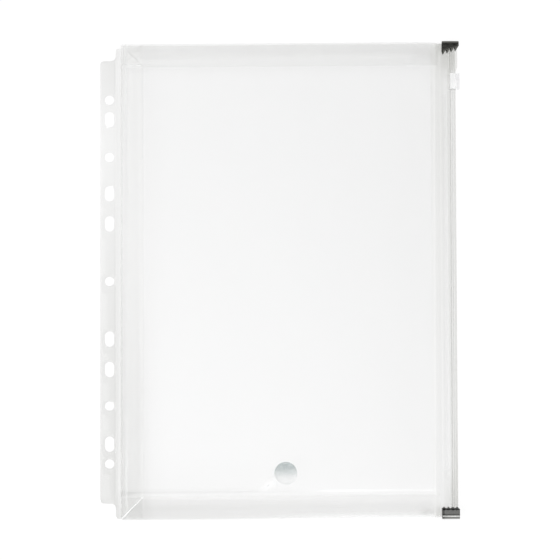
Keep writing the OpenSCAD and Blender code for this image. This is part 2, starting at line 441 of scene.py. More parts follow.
def marks_group() -> bpy.types.NodeTree:
    """Shared surface marks: extrusion streaks, smudges and fine scuffs as masks, and a height.

    Streaks are noise stretched along Y, smudges are broad noise and scuffs are fine noise. Wear is their
    weighted sum and Height is the sum of smudge and streak, both from 0 to 1.

    Returns:
        The node group, made once.
    """
    name = "surface_marks"
    if name in bpy.data.node_groups:
        return bpy.data.node_groups[name]
    tree = bpy.data.node_groups.new(name, "ShaderNodeTree")
    for label, kind in (("Place", "NodeSocketVector"), ("Streak Scale", "NodeSocketFloat"),
                        ("Smudge Scale", "NodeSocketFloat"), ("Stretch", "NodeSocketFloat")):
        tree.interface.new_socket(label, in_out="INPUT", socket_type=kind)
    for label in ("Wear", "Smudge", "Height"):
        tree.interface.new_socket(label, in_out="OUTPUT", socket_type="NodeSocketFloat")
    graph = Graph(tree)
    given = tree.nodes.new("NodeGroupInput").outputs
    along = graph.add("CombineXYZ", {"X": 1.0, "Y": given["Stretch"], "Z": 1.0})
    drawn = graph.add("VectorMath", {0: given["Place"], 1: along.outputs[0]}, operation="MULTIPLY")
    place, broad = given["Place"], given["Smudge Scale"]
    streaks = {"Vector": drawn.outputs[0], "Scale": given["Streak Scale"], "Detail": 3.0}
    streak = graph.add("TexNoise", streaks).outputs[0]
    smudge = graph.add("TexNoise", {"Vector": place, "Scale": broad, "Detail": 4.0}).outputs[0]
    fine = graph.maths("MULTIPLY", broad, SCUFFS_PER_SMUDGE)
    scuff = graph.add("TexNoise", {"Vector": place, "Scale": fine, "Detail": 2.0}).outputs[0]
    low, high = SMUDGE_RANGE
    soft = graph.add("MapRange", {"Value": smudge, "From Min": low, "From Max": high}).outputs[0]
    by_smudge, by_streak, by_scuff = WEAR_SHARES
    wear = graph.maths("MULTIPLY_ADD", soft, by_smudge, graph.maths("MULTIPLY", streak, by_streak))
    wear = graph.maths("MULTIPLY_ADD", scuff, by_scuff, wear)
    of_streak, of_smudge = HEIGHT_SHARES
    height = graph.maths("MULTIPLY_ADD", streak, of_streak, graph.maths("MULTIPLY", smudge, of_smudge))
    result = tree.nodes.new("NodeGroupOutput").inputs
    for label, socket in (("Wear", wear), ("Smudge", soft), ("Height", height)):
        tree.links.new(socket, result[label])
    return tree


@dataclass(frozen=True)
class Marks:
    """Scales of the shared surface marks on one finish, and the depth of its relief."""

    streak_scale: float = 900.0
    smudge_scale: float = 30.0
    stretch: float = 0.05
    depth: float = 0.00001

    def add_to(self, graph: Graph) -> tuple[bpy.types.Node, bpy.types.NodeSocket]:
        """Places the shared marks in a material.

        Args:
            graph: The material's nodes.

        Returns:
            The group node and the bumped normal.
        """
        place = graph.add("TexCoord").outputs["Object"]
        sizes = {"Place": place, "Streak Scale": self.streak_scale, "Smudge Scale": self.smudge_scale,
                 "Stretch": self.stretch}
        group = graph.add("Group", node_tree=marks_group())
        for label, value in sizes.items():
            if isinstance(value, float):
                group.inputs[label].default_value = value
            else:
                graph.tree.links.new(value, group.inputs[label])
        bump = graph.add("Bump", {"Height": group.outputs["Height"], "Distance": self.depth})
        return group, bump.outputs["Normal"]


@dataclass(frozen=True)
class ClearPlastic:
    """Clear plastic without bending of light: each face mirrors, tints and clouds a little.

    The mirrored share is base + (1 - base) (1 - cos)^5. Slanted faces also pass less light, as the edges of
    clear extrusions do. The shade attribute takes the tint over to a darker one, for stress along welds and
    creases and for painted shade; the whitening and highlight attribute mixes in milk, for whitening and for
    painted highlights.
    """

    name: str
    tint: tuple[float, float, float] = (0.995, 0.995, 0.995)
    stress_and_shade_tint: tuple[float, float, float] = (0.95, 0.95, 0.948)
    mirror: float = 0.03
    haze: float = 0.012
    milk: tuple[float, float, float] = (0.86, 0.87, 0.87)
    roughness: float = 0.06
    edge_pass: float = 1.0
    edge_power: float = 1.2
    mirror_power: float = 5.0
    milk_roughness: float = 0.55
    milk_gloss: float = 0.2
    least_roughness: float = 0.6
    marks: Marks = field(default_factory=Marks)

    def material(self) -> bpy.types.Material:
        """Builds the finish.

        Returns:
            The material.
        """
        material, graph = new_graph(self.name)
        marks, normal = self.marks.add_to(graph)
        facing = graph.add("LayerWeight", {"Blend": 0.5}).outputs["Facing"]
        slant = graph.maths("POWER", facing, self.mirror_power)
        mirror = graph.maths("MULTIPLY_ADD", slant, 1.0 - self.mirror, self.mirror)
        # Painted shade and stress take the darker tint; painted highlights and whitening mix in milk.
        shade, bloom = [graph.add("Attribute", attribute_name=n).outputs["Fac"] for n in (SHADE, WHITENING_AND_HIGHLIGHT)]
        tint = graph.mixed(shade, (*self.tint, 1.0), (*self.stress_and_shade_tint, 1.0))
        leaning = graph.maths("POWER", facing, self.edge_power)
        edge = (self.edge_pass, self.edge_pass, self.edge_pass, 1.0)
        clear = graph.add("BsdfTransparent", {"Color": graph.mixed(leaning, tint, edge)})
        least = self.roughness * self.least_roughness
        rough = graph.maths("MULTIPLY_ADD", marks.outputs["Wear"], self.roughness, least)
        cloud = {"Base Color": (*self.milk, 1.0), "Roughness": self.milk_roughness,
                 "Specular IOR Level": self.milk_gloss, "Normal": normal}
        milky = graph.add("BsdfPrincipled", cloud)
        share = graph.maths("ADD", bloom, self.haze)
        body = graph.add("MixShader", {0: share, 1: clear.outputs[0], 2: milky.outputs[0]})
        gloss = graph.add("BsdfAnisotropic", {"Color": (1.0, 1.0, 1.0, 1.0), "Roughness": rough,
                                              "Normal": normal})
        graph.end(graph.add("MixShader", {0: mirror, 1: body.outputs[0], 2: gloss.outputs[0]}).outputs[0])
        return material


@dataclass(frozen=True)
class Steel:
    """Stamped steel with rolling lines across, darker, rougher smudges, painted shade and painted highlights.
    """

    name: str
    colour: tuple[float, float, float] = (0.33, 0.33, 0.32)
    worn: tuple[float, float, float] = (0.22, 0.22, 0.21)
    shade_tone: tuple[float, float, float] = (0.03, 0.03, 0.028)
    highlight_tone: tuple[float, float, float] = (0.92, 0.92, 0.9)
    roughness: float = 0.26
    smudge_roughness: float = 0.2
    marks: Marks = field(default_factory=lambda: Marks(2600.0, 260.0, 14.0, 0.00002))

    def material(self) -> bpy.types.Material:
        """Builds the finish.

        Returns:
            The material.
        """
        material, graph = new_graph(self.name)
        marks, normal = self.marks.add_to(graph)
        shade, bloom = [graph.add("Attribute", attribute_name=n).outputs["Fac"] for n in (SHADE, WHITENING_AND_HIGHLIGHT)]
        tone = graph.mixed(marks.outputs["Wear"], (*self.colour, 1.0), (*self.worn, 1.0))
        # Painted shade from the shade attribute, then a painted highlight from the whitening and highlight
        # attribute.
        tone = graph.mixed(shade, tone, (*self.shade_tone, 1.0))
        tone = graph.mixed(bloom, tone, (*self.highlight_tone, 1.0))
        rough = graph.maths("MULTIPLY_ADD", marks.outputs["Smudge"], self.smudge_roughness, self.roughness)
        metal = graph.add("BsdfPrincipled", {"Base Color": tone, "Metallic": 1.0, "Roughness": rough,
                                             "Normal": normal})
        graph.end(metal.outputs[0])
        return material


PANEL_FILM = ClearPlastic("panel_film_clear", tint=(0.9935, 0.9935, 0.9935), stress_and_shade_tint=(0.85, 0.85, 0.846),
                          marks=Marks(depth=0.000003))
GUSSET_FILM = ClearPlastic("gusset_film_clear", tint=(0.999, 0.999, 0.998), stress_and_shade_tint=(0.96, 0.96, 0.9585),
                           mirror=0.014)
STRIP_FILM = ClearPlastic("strip_film_grey", tint=(0.99, 0.99, 0.989), stress_and_shade_tint=(0.88, 0.88, 0.875),
                          edge_pass=0.97, roughness=0.1)
ZIP_PLASTIC = ClearPlastic("zip_extrusion_clear", tint=(0.99, 0.99, 0.9895), stress_and_shade_tint=(0.9, 0.9, 0.892),
                           edge_pass=0.86, mirror=0.022, roughness=0.07,
                           marks=Marks(streak_scale=500.0, stretch=0.02, depth=0.000002))
RUNNER_PLASTIC = ClearPlastic("runner_milky", tint=(0.992, 0.992, 0.992), stress_and_shade_tint=(0.86, 0.86, 0.87),
                              haze=0.02, milk=(0.9, 0.905, 0.91), mirror=0.015)
DISC_FILM = ClearPlastic("plain_disc_silver", tint=(0.985, 0.987, 0.987), stress_and_shade_tint=(0.72, 0.755, 0.755),
                         haze=0.04, mirror=0.06, roughness=0.09)


@dataclass
class Plan:
    """Places shared by the pieces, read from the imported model."""

    panel_low: Array
    panel_high: Array
    front_low: Array
    front_high: Array
    mid_z: float
    gusset_depth: float

    @classmethod
    def read(cls) -> "Plan":
        """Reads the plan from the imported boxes.

        Returns:
            The plan.
        """
        panel_low, panel_high = corners_of("back_panel")
        front_low, front_high = corners_of("front_panel")
        leaf_low, leaf_high = corners_of("spine_gusset_back")
        mid_z = float(panel_low[2] + front_high[2]) / 2
        depth = float(leaf_high[0] - leaf_low[0])
        return cls(panel_low, panel_high, front_low, front_high, mid_z, depth)

    @property
    def spine_x(self) -> float:
        """X of the panels' spine edge."""
        return float(self.panel_low[0])

    @property
    def zip_x(self) -> float:
        """X of the panels' zip edge."""
        return float(self.panel_high[0])

    @property
    def half_height(self) -> float:
        """Half the height of the panels."""
        return float(self.panel_high[1])

    @property
    def film_t(self) -> float:
        """Thickness of the panel film."""
        return float(self.panel_high[2] - self.panel_low[2])

    @property
    def track_reach(self) -> float:
        """Half the length of the zip tracks."""
        return float(corners_of("zip_track_back")[1][1])


@dataclass(frozen=True)
class MouthBlend:
    """Settles the front pieces in place: each piece's place is baked into its mesh.
    """

    upper_start: float = 0.125
    lower_start: float = -0.137
    full: float = 0.045

    def apply(self, piece: bpy.types.Object, half: Half) -> None:
        """Bakes a piece's place into its mesh.

        Args:
            piece: A piece of one half of the front.
            half: Its half of the height; not used.
        """
        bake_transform(piece)


LAP = 0.0029
LAP_SIDE = (Along.SPINE, LAP + 0.0005, LAP)
LINE_HALF = 0.0006
CREASE_HALF = 0.0009
WELD_LINE = (Along.SPINE, 0.0013, LINE_HALF)
LAP_LINE = (Along.SPINE, LAP, LINE_HALF)
WHITE_WELD_LINE = (Along.SPINE, 0.0004, LINE_HALF)
WHITE_LAP_LINE = (Along.SPINE, LAP + 0.0008, LINE_HALF)
WHITE_MITRE = (Along.MITRE, 0.0, 0.0005)
LEFT_SIDE = (Along.X, 0.06, -0.1)
LOWER_BAND = ((Along.LOW, 0.0165, 0.004), (Along.X, 0.07, -0.07))
UPPER_END = (Along.Y, 0.12, 0.145)
LOWER_ENDS = (Along.Y, -0.07, -0.15)
BOTH_ENDS = (Along.HEIGHT, 0.07, 0.15)
# Painted shade on the front film: broad zones, the folds, the lower band and its stripes, the upper zip
# corner and the film beside the lower clip; with darker weld and lap lines, the strip's lap and the mitre
# creases.
FILM_LINES_AND_PAINTED_SHADE: dict[str, Tone] = {
    "painted_shade towards the zip": Tone(0.036, [(Along.X, -0.02, 0.09)]),
    "painted_shade beside the zip": Tone(0.025, [(Along.X, 0.06, 0.09)]),
    "painted_shade on the left": Tone(0.024, [LEFT_SIDE]),
    "painted_shade on the lower left": Tone(0.07, [LEFT_SIDE, (Along.LOW, 0.045, 0.02)]),
    "painted_shade past the spine fold": Tone(0.07, [(Along.SPINE, 0.035, 0.016), (Along.SPINE, 0.013, 0.016)]),
    "painted_shade over the lower spine fold": Tone(0.2, [(Along.Y, 0.04, -0.1), (Along.SPINE, 0.022, 0.012)]),
    "weld line": Tone(0.03, ridges=[WELD_LINE]),
    "lap line": Tone(0.03, ridges=[LAP_LINE]),
    "weld line, lower end": Tone(0.07, [LOWER_ENDS], [WELD_LINE]),
    "lap line, lower end": Tone(0.07, [LOWER_ENDS], [LAP_LINE]),
    "lap": Tone(0.02, [LAP_SIDE]),
    "lap, lower part": Tone(0.13, [(Along.Y, 0.06, -0.03), LAP_SIDE]),
    "lower fold": Tone(0.22, [(Along.X, 0.04, -0.03)], [(Along.LOW, 0.0178, 0.0014)]),
    "lower fold at the spine": Tone(0.3, [(Along.X, -0.09, -0.103)], [(Along.LOW, 0.0167, 0.0024)]),
    "upper fold": Tone(0.1, ridges=[(Along.TOP, 0.017, 0.003)]),
    "lower band": Tone(0.08, LOWER_BAND),
    "lower band's stripes": Tone(0.03, LOWER_BAND, times=[Along.STRIPES]),
    "upper mitre": Tone(0.28, [(Along.SPINE, 0.003, 0.007)], [(Along.MITRE, 0.0, CREASE_HALF)],
                        [Along.UPPER_CORNER]),
    "upper diagonal": Tone(0.22, ridges=[(Along.CROSS, 0.0, CREASE_HALF)], times=[Along.UPPER_CORNER]),
    # Painted shade beside the lower clip.
    "film pressed by the lower clip": Tone(0.5, [(Along.X, 0.088, 0.096)], [(Along.LOW, 0.0034, 0.0032)]),
    "upper zip corner": Tone(0.06, [(Along.X, 0.08, 0.095), UPPER_END]),
    "upper zip edge": Tone(0.04, [(Along.X, 0.094, 0.0997), UPPER_END]),
}
# Painted highlights on the front film: the lower mitre, the edge of the upper corner, the rolled lower edge
# and a glare, with whitening along the weld and lap lines.
FILM_WHITENING_AND_HIGHLIGHTS: dict[str, Tone] = {
    "weld line": Tone(0.03, ridges=[WHITE_WELD_LINE]),
    "lap line": Tone(0.03, ridges=[WHITE_LAP_LINE]),
    "weld line, both ends": Tone(0.16, [BOTH_ENDS], [WHITE_WELD_LINE]),
    "lap line, both ends": Tone(0.16, [BOTH_ENDS], [WHITE_LAP_LINE]),
    "lower mitre": Tone(0.8, ridges=[WHITE_MITRE], times=[Along.LOWER_CORNER]),
    "lower mitre, fading inwards": Tone(-0.4, [(Along.SPINE, 0.004, 0.016)], [WHITE_MITRE],
                                        [Along.LOWER_CORNER]),
    "edge of the upper corner": Tone(0.28, [(Along.SPINE, 0.002, 0.004), (Along.SPINE, 0.014, 0.012)],
                                     [(Along.TOP, 0.0136, 0.0006)]),
    "rolled lower edge": Tone(0.32, [(Along.LOW, 0.0045, 0.0), (Along.X, -0.04, 0.06)]),
    "smear": Tone(0.3, ridges=[(Along.SMEAR, 0.0, 0.011), (Along.OFF_GLARE, 0.0, 0.0045)]),
}


@dataclass
class FilmPocket:
    """Front and back film of the pocket, each a thin closed sheet on a grid.

    The height of a sheet is its flat place plus a relief: a shallow sag, long ripples, creases pressed in by
    the folded corners, a fall over the lower gusset's fold, a rolled lower edge and a dip towards each end
    clip.
    """

    plan: Plan
    corner_radius: float = 0.0015
    grid_step: float = 0.003
    edge_step: float = 0.0004
    edge_zone: float = 0.0186
    back_coarser: float = 4.0
    sag: float = 0.0005
    ripple: float = 0.00003
    ripple_waves: Sequence[tuple[float, float, float, float]] = (
        (1.0, 62.0, 21.0, 0.0), (0.8, 27.0, -48.0, 1.3), (0.6, 95.0, 60.0, 0.4))
    ripple_inset: Sequence[float] = (0.12, 0.1)
    crease: float = 0.00003
    fold_fall: float = 0.0006
    fall_y: Sequence[float] = (0.0158, 0.0212)
    fall_across: Sequence[float] = (0.3, 0.75)
    edge_roll: float = 0.0003
    roll_w: float = 0.0045
    roll_across: Sequence[float] = (0.4, 0.8)
    corner_dip: float = 0.0002
    dip_reach: float = 0.03
    stripe_rate: float = 2900.0
    glare_at: Sequence[float] = (-0.0075, 0.022)
    glare_way: Sequence[float] = (0.82, 0.57)

    def sheet_grid(self, half: Half, fine: bool) -> tuple[Array, Array]:
        """X and Y of the grid of one sheet, with the two spine corners rounded.

        Args:
            half: The part of the height to cover.
            fine: Whether the zones near the outer edges are finely stepped.

        Returns:
            X and Y, each columns by rows.
        """
        plan = self.plan
        small = self.edge_step if fine else self.edge_step * self.back_coarser
        across = graded(plan.spine_x, plan.zip_x, self.grid_step, small, (self.edge_zone, self.edge_zone))
        low, high = (sign * plan.half_height for sign in half.value)
        zones = (self.edge_zone if low < 0 else self.grid_step,
                 self.edge_zone if high > 0 else self.grid_step)
        x, y = np.meshgrid(across, graded(low, high, self.grid_step, small, zones), indexing="ij")
        r = self.corner_radius
        into = np.clip(np.abs(y) - (plan.half_height - r), 0.0, r)
        inset = r - np.sqrt(r * r - into * into)
        share = (x - plan.spine_x) / (plan.zip_x - plan.spine_x)
        return x + inset * (1.0 - share), y

    def corner(self, x: Array, y: Array) -> tuple[Array, Array, Array]:
        """Places over a folded spine corner.

        Args:
            x: X of the points.
            y: Y of the points.

        Returns:
            Distance from the mitre, distance from the other diagonal, and 1 inside the corner, else 0.
        """
        depth = self.plan.gusset_depth
        dx, dy = x - self.plan.spine_x, self.plan.half_height - np.abs(y)
        inside = (dx <= depth) & (dy <= depth)
        return (dx - dy) / math.sqrt(2), (dx + dy - depth) / math.sqrt(2), inside.astype(float)

    def drop(self, x: Array, y: Array) -> Array:
        """How far the front film falls below its flat place.

        Three products of smooth steps are added: a fall over the lower fold, a roll of the lower edge and a
        dip towards each end clip.

        Args:
            x: X of the points.
            y: Y of the points.

        Returns:
            The fall, 0 or below.
        """
        plan = self.plan
        u = (x - plan.spine_x) / (plan.zip_x - plan.spine_x)
        from_low = y + plan.half_height
        fall = self.fold_fall * (1.0 - ease(from_low, *self.fall_y)) * ease(u, *self.fall_across)
        roll = self.edge_roll * (1.0 - ease(from_low, 0.0, self.roll_w)) * ease(u, *self.roll_across)
        near_end = ease(np.abs(y), plan.half_height - self.dip_reach, plan.half_height)
        dip = self.corner_dip * near_end * ease(x, plan.zip_x - self.dip_reach, plan.zip_x)
        return -(fall + roll + dip)

    def relief(self, x: Array, y: Array) -> Array:
        """Height of the front film over its flat place.

        The sum of a sag, a sine across and a parabola up, of slanted sine waves that fade towards the edges,
        of ridges along the diagonals of the folded corners, and of the drop.

        Args:
            x: X of the points.
            y: Y of the points.

        Returns:
            The height.
        """
        plan = self.plan
        u = (x - plan.spine_x) / (plan.zip_x - plan.spine_x)
        v = y / plan.half_height
        side, end = self.ripple_inset
        inside = ease(np.minimum(u, 1.0 - u), 0.0, side) * ease(1.0 - np.abs(v), 0.0, end)
        sag = -self.sag * np.sin(math.pi * np.clip(u, 0.0, 1.0)) * (1.0 - v * v)
        waves = sum(size * np.sin(by_x * x + by_y * y + phase)
                    for size, by_x, by_y, phase in self.ripple_waves)
        mitre, cross, square = self.corner(x, y)
        crossed = ridge(mitre, 0.0, CREASE_HALF) + ridge(cross, 0.0, CREASE_HALF) * (y > 0)
        return sag + waves * self.ripple * inside + self.crease * square * crossed + self.drop(x, y)

    def places(self, x: Array, y: Array) -> dict[Along, Array]:
        """What the film's tones are measured along.

        Args:
            x: X of the points.
            y: Y of the points.

        Returns:
            The place of every point along each direction.
        """
        plan = self.plan
        from_low = y + plan.half_height
        mitre, cross, square = self.corner(x, y)
        dx, dy = x - self.glare_at[0], from_low - self.glare_at[1]
        cos, sin = self.glare_way
        return {Along.X: x, Along.Y: y, Along.HEIGHT: np.abs(y), Along.SPINE: x - plan.spine_x,
                Along.LOW: from_low, Along.TOP: plan.half_height - y, Along.MITRE: mitre, Along.CROSS: cross,
                Along.UPPER_CORNER: square * (y > 0), Along.LOWER_CORNER: square * (y < 0),
                Along.STRIPES: np.sin(from_low * self.stripe_rate),
                Along.SMEAR: cos * dx + sin * dy, Along.OFF_GLARE: cos * dy - sin * dx}

    def back(self, finish: bpy.types.Material) -> bpy.types.Object:
        """Builds the back film, flat on the table.

        Args:
            finish: The film's material.

        Returns:
            The back film, riding on the pocket.
        """
        x, y = self.sheet_grid(Half.WHOLE, fine=False)
        low = np.full_like(x, self.plan.panel_low[2])
        high = np.full_like(x, self.plan.panel_high[2])
        piece = put("back_film", shell(np.stack([x, y, high], -1), np.stack([x, y, low], -1)), finish)
        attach(piece, "pocket")
        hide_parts("back_panel")
        return piece

    def front(self, half: Half, finish: bpy.types.Material, blend: MouthBlend) -> bpy.types.Object:
        """Builds one half of the front film on its relief.

        Args:
            half: The half of the height to cover.
            finish: The film's material.
            blend: What settles the front pieces in place.

        Returns:
            The half film.
        """
        x, y = self.sheet_grid(half, fine=True)
        relief = self.relief(x, y)
        low, high = self.plan.front_low[2] + relief, self.plan.front_high[2] + relief
        skin = shell(np.stack([x, y, high], -1), np.stack([x, y, low], -1))
        places = self.places(x, y)
        # Painted shade darkens both faces; painted highlights and whitening go on the upper face only.
        shade, bloom = toned(FILM_LINES_AND_PAINTED_SHADE, places), toned(FILM_WHITENING_AND_HIGHLIGHTS, places)
        piece = put(f"front_film_{half.name.lower()}", skin, finish, shade=np.stack([shade] * 2),
                    bloom=np.stack([bloom, 0.0 * bloom]))
        blend.apply(piece, half)
        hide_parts("front_panel")
        return piece


# Painted shade across the spine and lower gussets, from the weld to the fold, at the shares of the depth in
# Gusset.dark_at.
SPINE_DARK = (0.2, 0.2, 0.24, 0.32, 0.18, 0.12, 0.11, 0.18, 0.18, 0.05, 0.03)
BOTTOM_DARK = (0.55, 0.57, 0.6, 0.66, 0.63, 0.59, 0.44, 0.35, 0.3, 0.2, 0.1)


@dataclass
class Gusset:
    """One folded strip of film along an edge of the pocket: weld, back leaf, fold, front leaf, weld.

    The section gives the depth in from the edge and the height. Each leaf rises or falls as a smooth step
    between its weld and the fold, which is a half circle. Ends at the spine are cut along the mitre.
    """

    plan: Plan
    pocket: FilmPocket
    side: Side
    weld_w: float = 0.003
    weld_gap: float = 0.00004
    film_t: float = 0.00025
    fold_r: float = 0.0005
    mitre_gap: float = 0.0002
    past_zip: float = 0.0048
    fade_w: float = 0.001
    weld_rows: int = 4
    leaf_rows: int = 14
    turn_rows: int = 9
    room_x: Sequence[float] = (-0.0052, -0.0027, 0.0001, 0.0053)
    room_z: Sequence[float] = (0.0033, 0.0027, 0.0026, 0.0008)
    step: float = 0.004
    # Painted shade across the strip, at shares of the depth from the weld to the fold.
    dark_at: Sequence[float] = (0.0, 0.08, 0.22, 0.31, 0.42, 0.52, 0.6, 0.7, 0.82, 0.9, 1.0)
    dark: Sequence[float] = (0.45, 0.34, 0.52, 0.6, 0.67, 0.58, 0.54, 0.42, 0.25, 0.2, 0.18)
    tuck: float = 0.0004
    tuck_ease: float = 0.5
    tuck_edge: float = 0.0009
    tuck_rows: int = 25
    tuck_shade: float = 0.0

    def section(self, back_z: float, front_z: float) -> tuple[Array, Array]:
        """Section of the folded strip, from the back weld to the front weld.

        Args:
            back_z: Height of the back weld's middle.
            front_z: Height of the front weld's middle.

        Returns:
            Depth in from the edge and height, along the section.
        """
        depth, fold_z, r = self.plan.gusset_depth, self.plan.mid_z, self.fold_r
        weld = np.linspace(0.0, self.weld_w, self.weld_rows)
        leaf = np.linspace(self.weld_w, depth - r, self.leaf_rows)[1:]
        rise = ease(leaf, self.weld_w, depth - r)
        turn = np.linspace(-math.pi / 2, math.pi / 2, self.turn_rows)[1:-1]
        d = np.concatenate([weld, leaf, depth - r + r * np.cos(turn), leaf[::-1], weld[::-1]])
        back = back_z + (fold_z - r - back_z) * rise
        front = front_z + (fold_z + r - front_z) * rise
        z = np.concatenate([np.full_like(weld, back_z), back, fold_z + r * np.sin(turn), front[::-1],
                            np.full_like(weld, front_z)])
        return d, z

    def placed(self, along: Array, d: Array, z: Array) -> Array:
        """Points in the row frame, squeezed in height beside the zip and under the fallen film.

        Args:
            along: Place along the edge.
            d: Depth in from the edge.
            z: Height.

        Returns:
            Points, X, Y and Z in the last axis.
        """
        plan = self.plan
        if self.side is Side.SPINE:
            return np.stack([plan.spine_x + d, along, z], -1)
        room = np.interp(along - plan.zip_x, self.room_x, self.room_z)
        y = (1.0 if self.side is Side.TOP else -1.0) * (plan.half_height - d)
        fallen = self.pocket.drop(np.minimum(along, plan.zip_x), y) / (plan.mid_z - plan.film_t)
        tight = np.minimum(1.0, room / self.room_z[0]) * np.where(z > plan.mid_z, 1.0 + fallen, 1.0)
        return np.stack([along, y, plan.mid_z + (z - plan.mid_z) * tight], -1)

    def ends(self, d: Array) -> tuple[Array, Array]:
        """First and last place along the edge, with mitres at the spine.

        Args:
            d: Depth in from the edge.

        Returns:
            The first and the last place at each depth.
        """
        plan = self.plan
        if self.side is Side.SPINE:
            reach = plan.half_height - d - self.mitre_gap
            return -reach, reach
        return plan.spine_x + d + self.mitre_gap, np.full_like(d, plan.zip_x + self.past_zip)

    def pleats(self, back_z: float, front_z: float) -> list[Skin]:
        """Film tucked into the spine corner, one square inside each leaf.

        Each square follows the leaf's own height at the smaller of the two depths, moved in by the tuck, so
        that it is creased along the mitre.

        Args:
            back_z: Height of the back weld's middle.
            front_z: Height of the front weld's middle.

        Returns:
            One skin for each leaf, none for the spine strip.
        """
        if self.side is Side.SPINE:
            return []
        plan, r = self.plan, self.fold_r
        reach = np.linspace(self.tuck_edge, plan.gusset_depth - self.tuck_edge, self.tuck_rows)
        dx, dy = np.meshgrid(reach, reach, indexing="ij")
        rise = ease(np.minimum(dx, dy), self.weld_w, plan.gusset_depth - r)
        sheets = []
        for weld_z, fold_z, inward in ((back_z, plan.mid_z - r, 1.0), (front_z, plan.mid_z + r, -1.0)):
            z = weld_z + (fold_z - weld_z) * rise + inward * self.tuck * (1.0 - self.tuck_ease * rise)
            edge = self.placed(plan.spine_x + dx, dy, z + self.film_t / 2)
            sheets.append(shell(edge, edge - np.array([0.0, 0.0, self.film_t])))
        return sheets

    def build(self, finish: bpy.types.Material) -> bpy.types.Object:
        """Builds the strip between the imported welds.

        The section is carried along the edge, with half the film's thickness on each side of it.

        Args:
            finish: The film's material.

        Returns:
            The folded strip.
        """
        name = self.side.value
        back_low, _ = corners_of(f"{name}_gusset_back")
        _, front_high = corners_of(f"{name}_gusset_front")
        half_t = self.film_t / 2
        off = half_t + self.weld_gap
        back_z, front_z = float(back_low[2]) + off, float(front_high[2]) - off
        d, z = self.section(back_z, front_z)
        slope = np.stack([np.gradient(d), np.gradient(z)], -1)
        slope /= np.linalg.norm(slope, axis=1, keepdims=True)
        first, last = self.ends(d)
        length = float(last.max() - first.min())
        share = np.linspace(0.0, 1.0, round(length / self.step) + 1)[:, None]
        along = first + (last - first) * share
        wide = np.broadcast_to(d, along.shape)
        high = np.broadcast_to(z, along.shape)
        out_d, out_z = half_t * slope[:, 1], -half_t * slope[:, 0]
        outside = self.placed(along, wide + out_d, high + out_z)
        inside = self.placed(along, wide - out_d, high - out_z)
        pleats = self.pleats(back_z, front_z)
        # Painted shade across the strip, fading out past the zip edge; the tucked squares take tuck_shade.
        shade = np.interp(wide / self.plan.gusset_depth, self.dark_at, self.dark)
        if self.side is not Side.SPINE:
            zip_x = self.plan.zip_x
            shade = shade * (1.0 - ease(along, zip_x - self.fade_w, zip_x + self.past_zip))
        tucked = [np.full(len(p.points), self.tuck_shade) for p in pleats]
        shade = np.concatenate([shade.ravel()] * 2 + tucked)
        skin = shell(outside, inside).joined(*pleats)
        piece = put(f"{name}_gusset", skin, finish, sharp_deg=60.0, shade=shade)
        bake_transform(piece)
        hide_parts(f"{name}_gusset_back", f"{name}_gusset_front")
        return piece


# Painted shade on the strip: the tab's free edge paler, tones over the margin, paler where it lies under the
# film, and darker lines at the crease and the lower end of the film's edge.
TAB_GAIN: dict[str, Tone] = {"paler free edge": Tone(-0.25, [(Along.TAB, 0.0016, 0.0)])}
MARGIN_TONES: dict[str, Tone] = {
    "whole margin": Tone(0.4),
    "lower part": Tone(0.35, [(Along.Y, 0.1, -0.1)]),
    "lower end": Tone(0.3, [(Along.Y, -0.135, -0.147)]),
}
LAP_GAIN: dict[str, Tone] = {"paler under the film": Tone(-0.6, [(Along.SPINE, -0.0004, 0.0004)])}
STRIP_LINES: dict[str, Tone] = {
    "crease": Tone(0.06, ridges=[(Along.CREASE, 0.0, 0.0009)]),
    "lower end of the film's edge": Tone(0.6, [(Along.Y, -0.12, -0.148)], [(Along.SPINE, -0.0013, 0.0008)]),
}


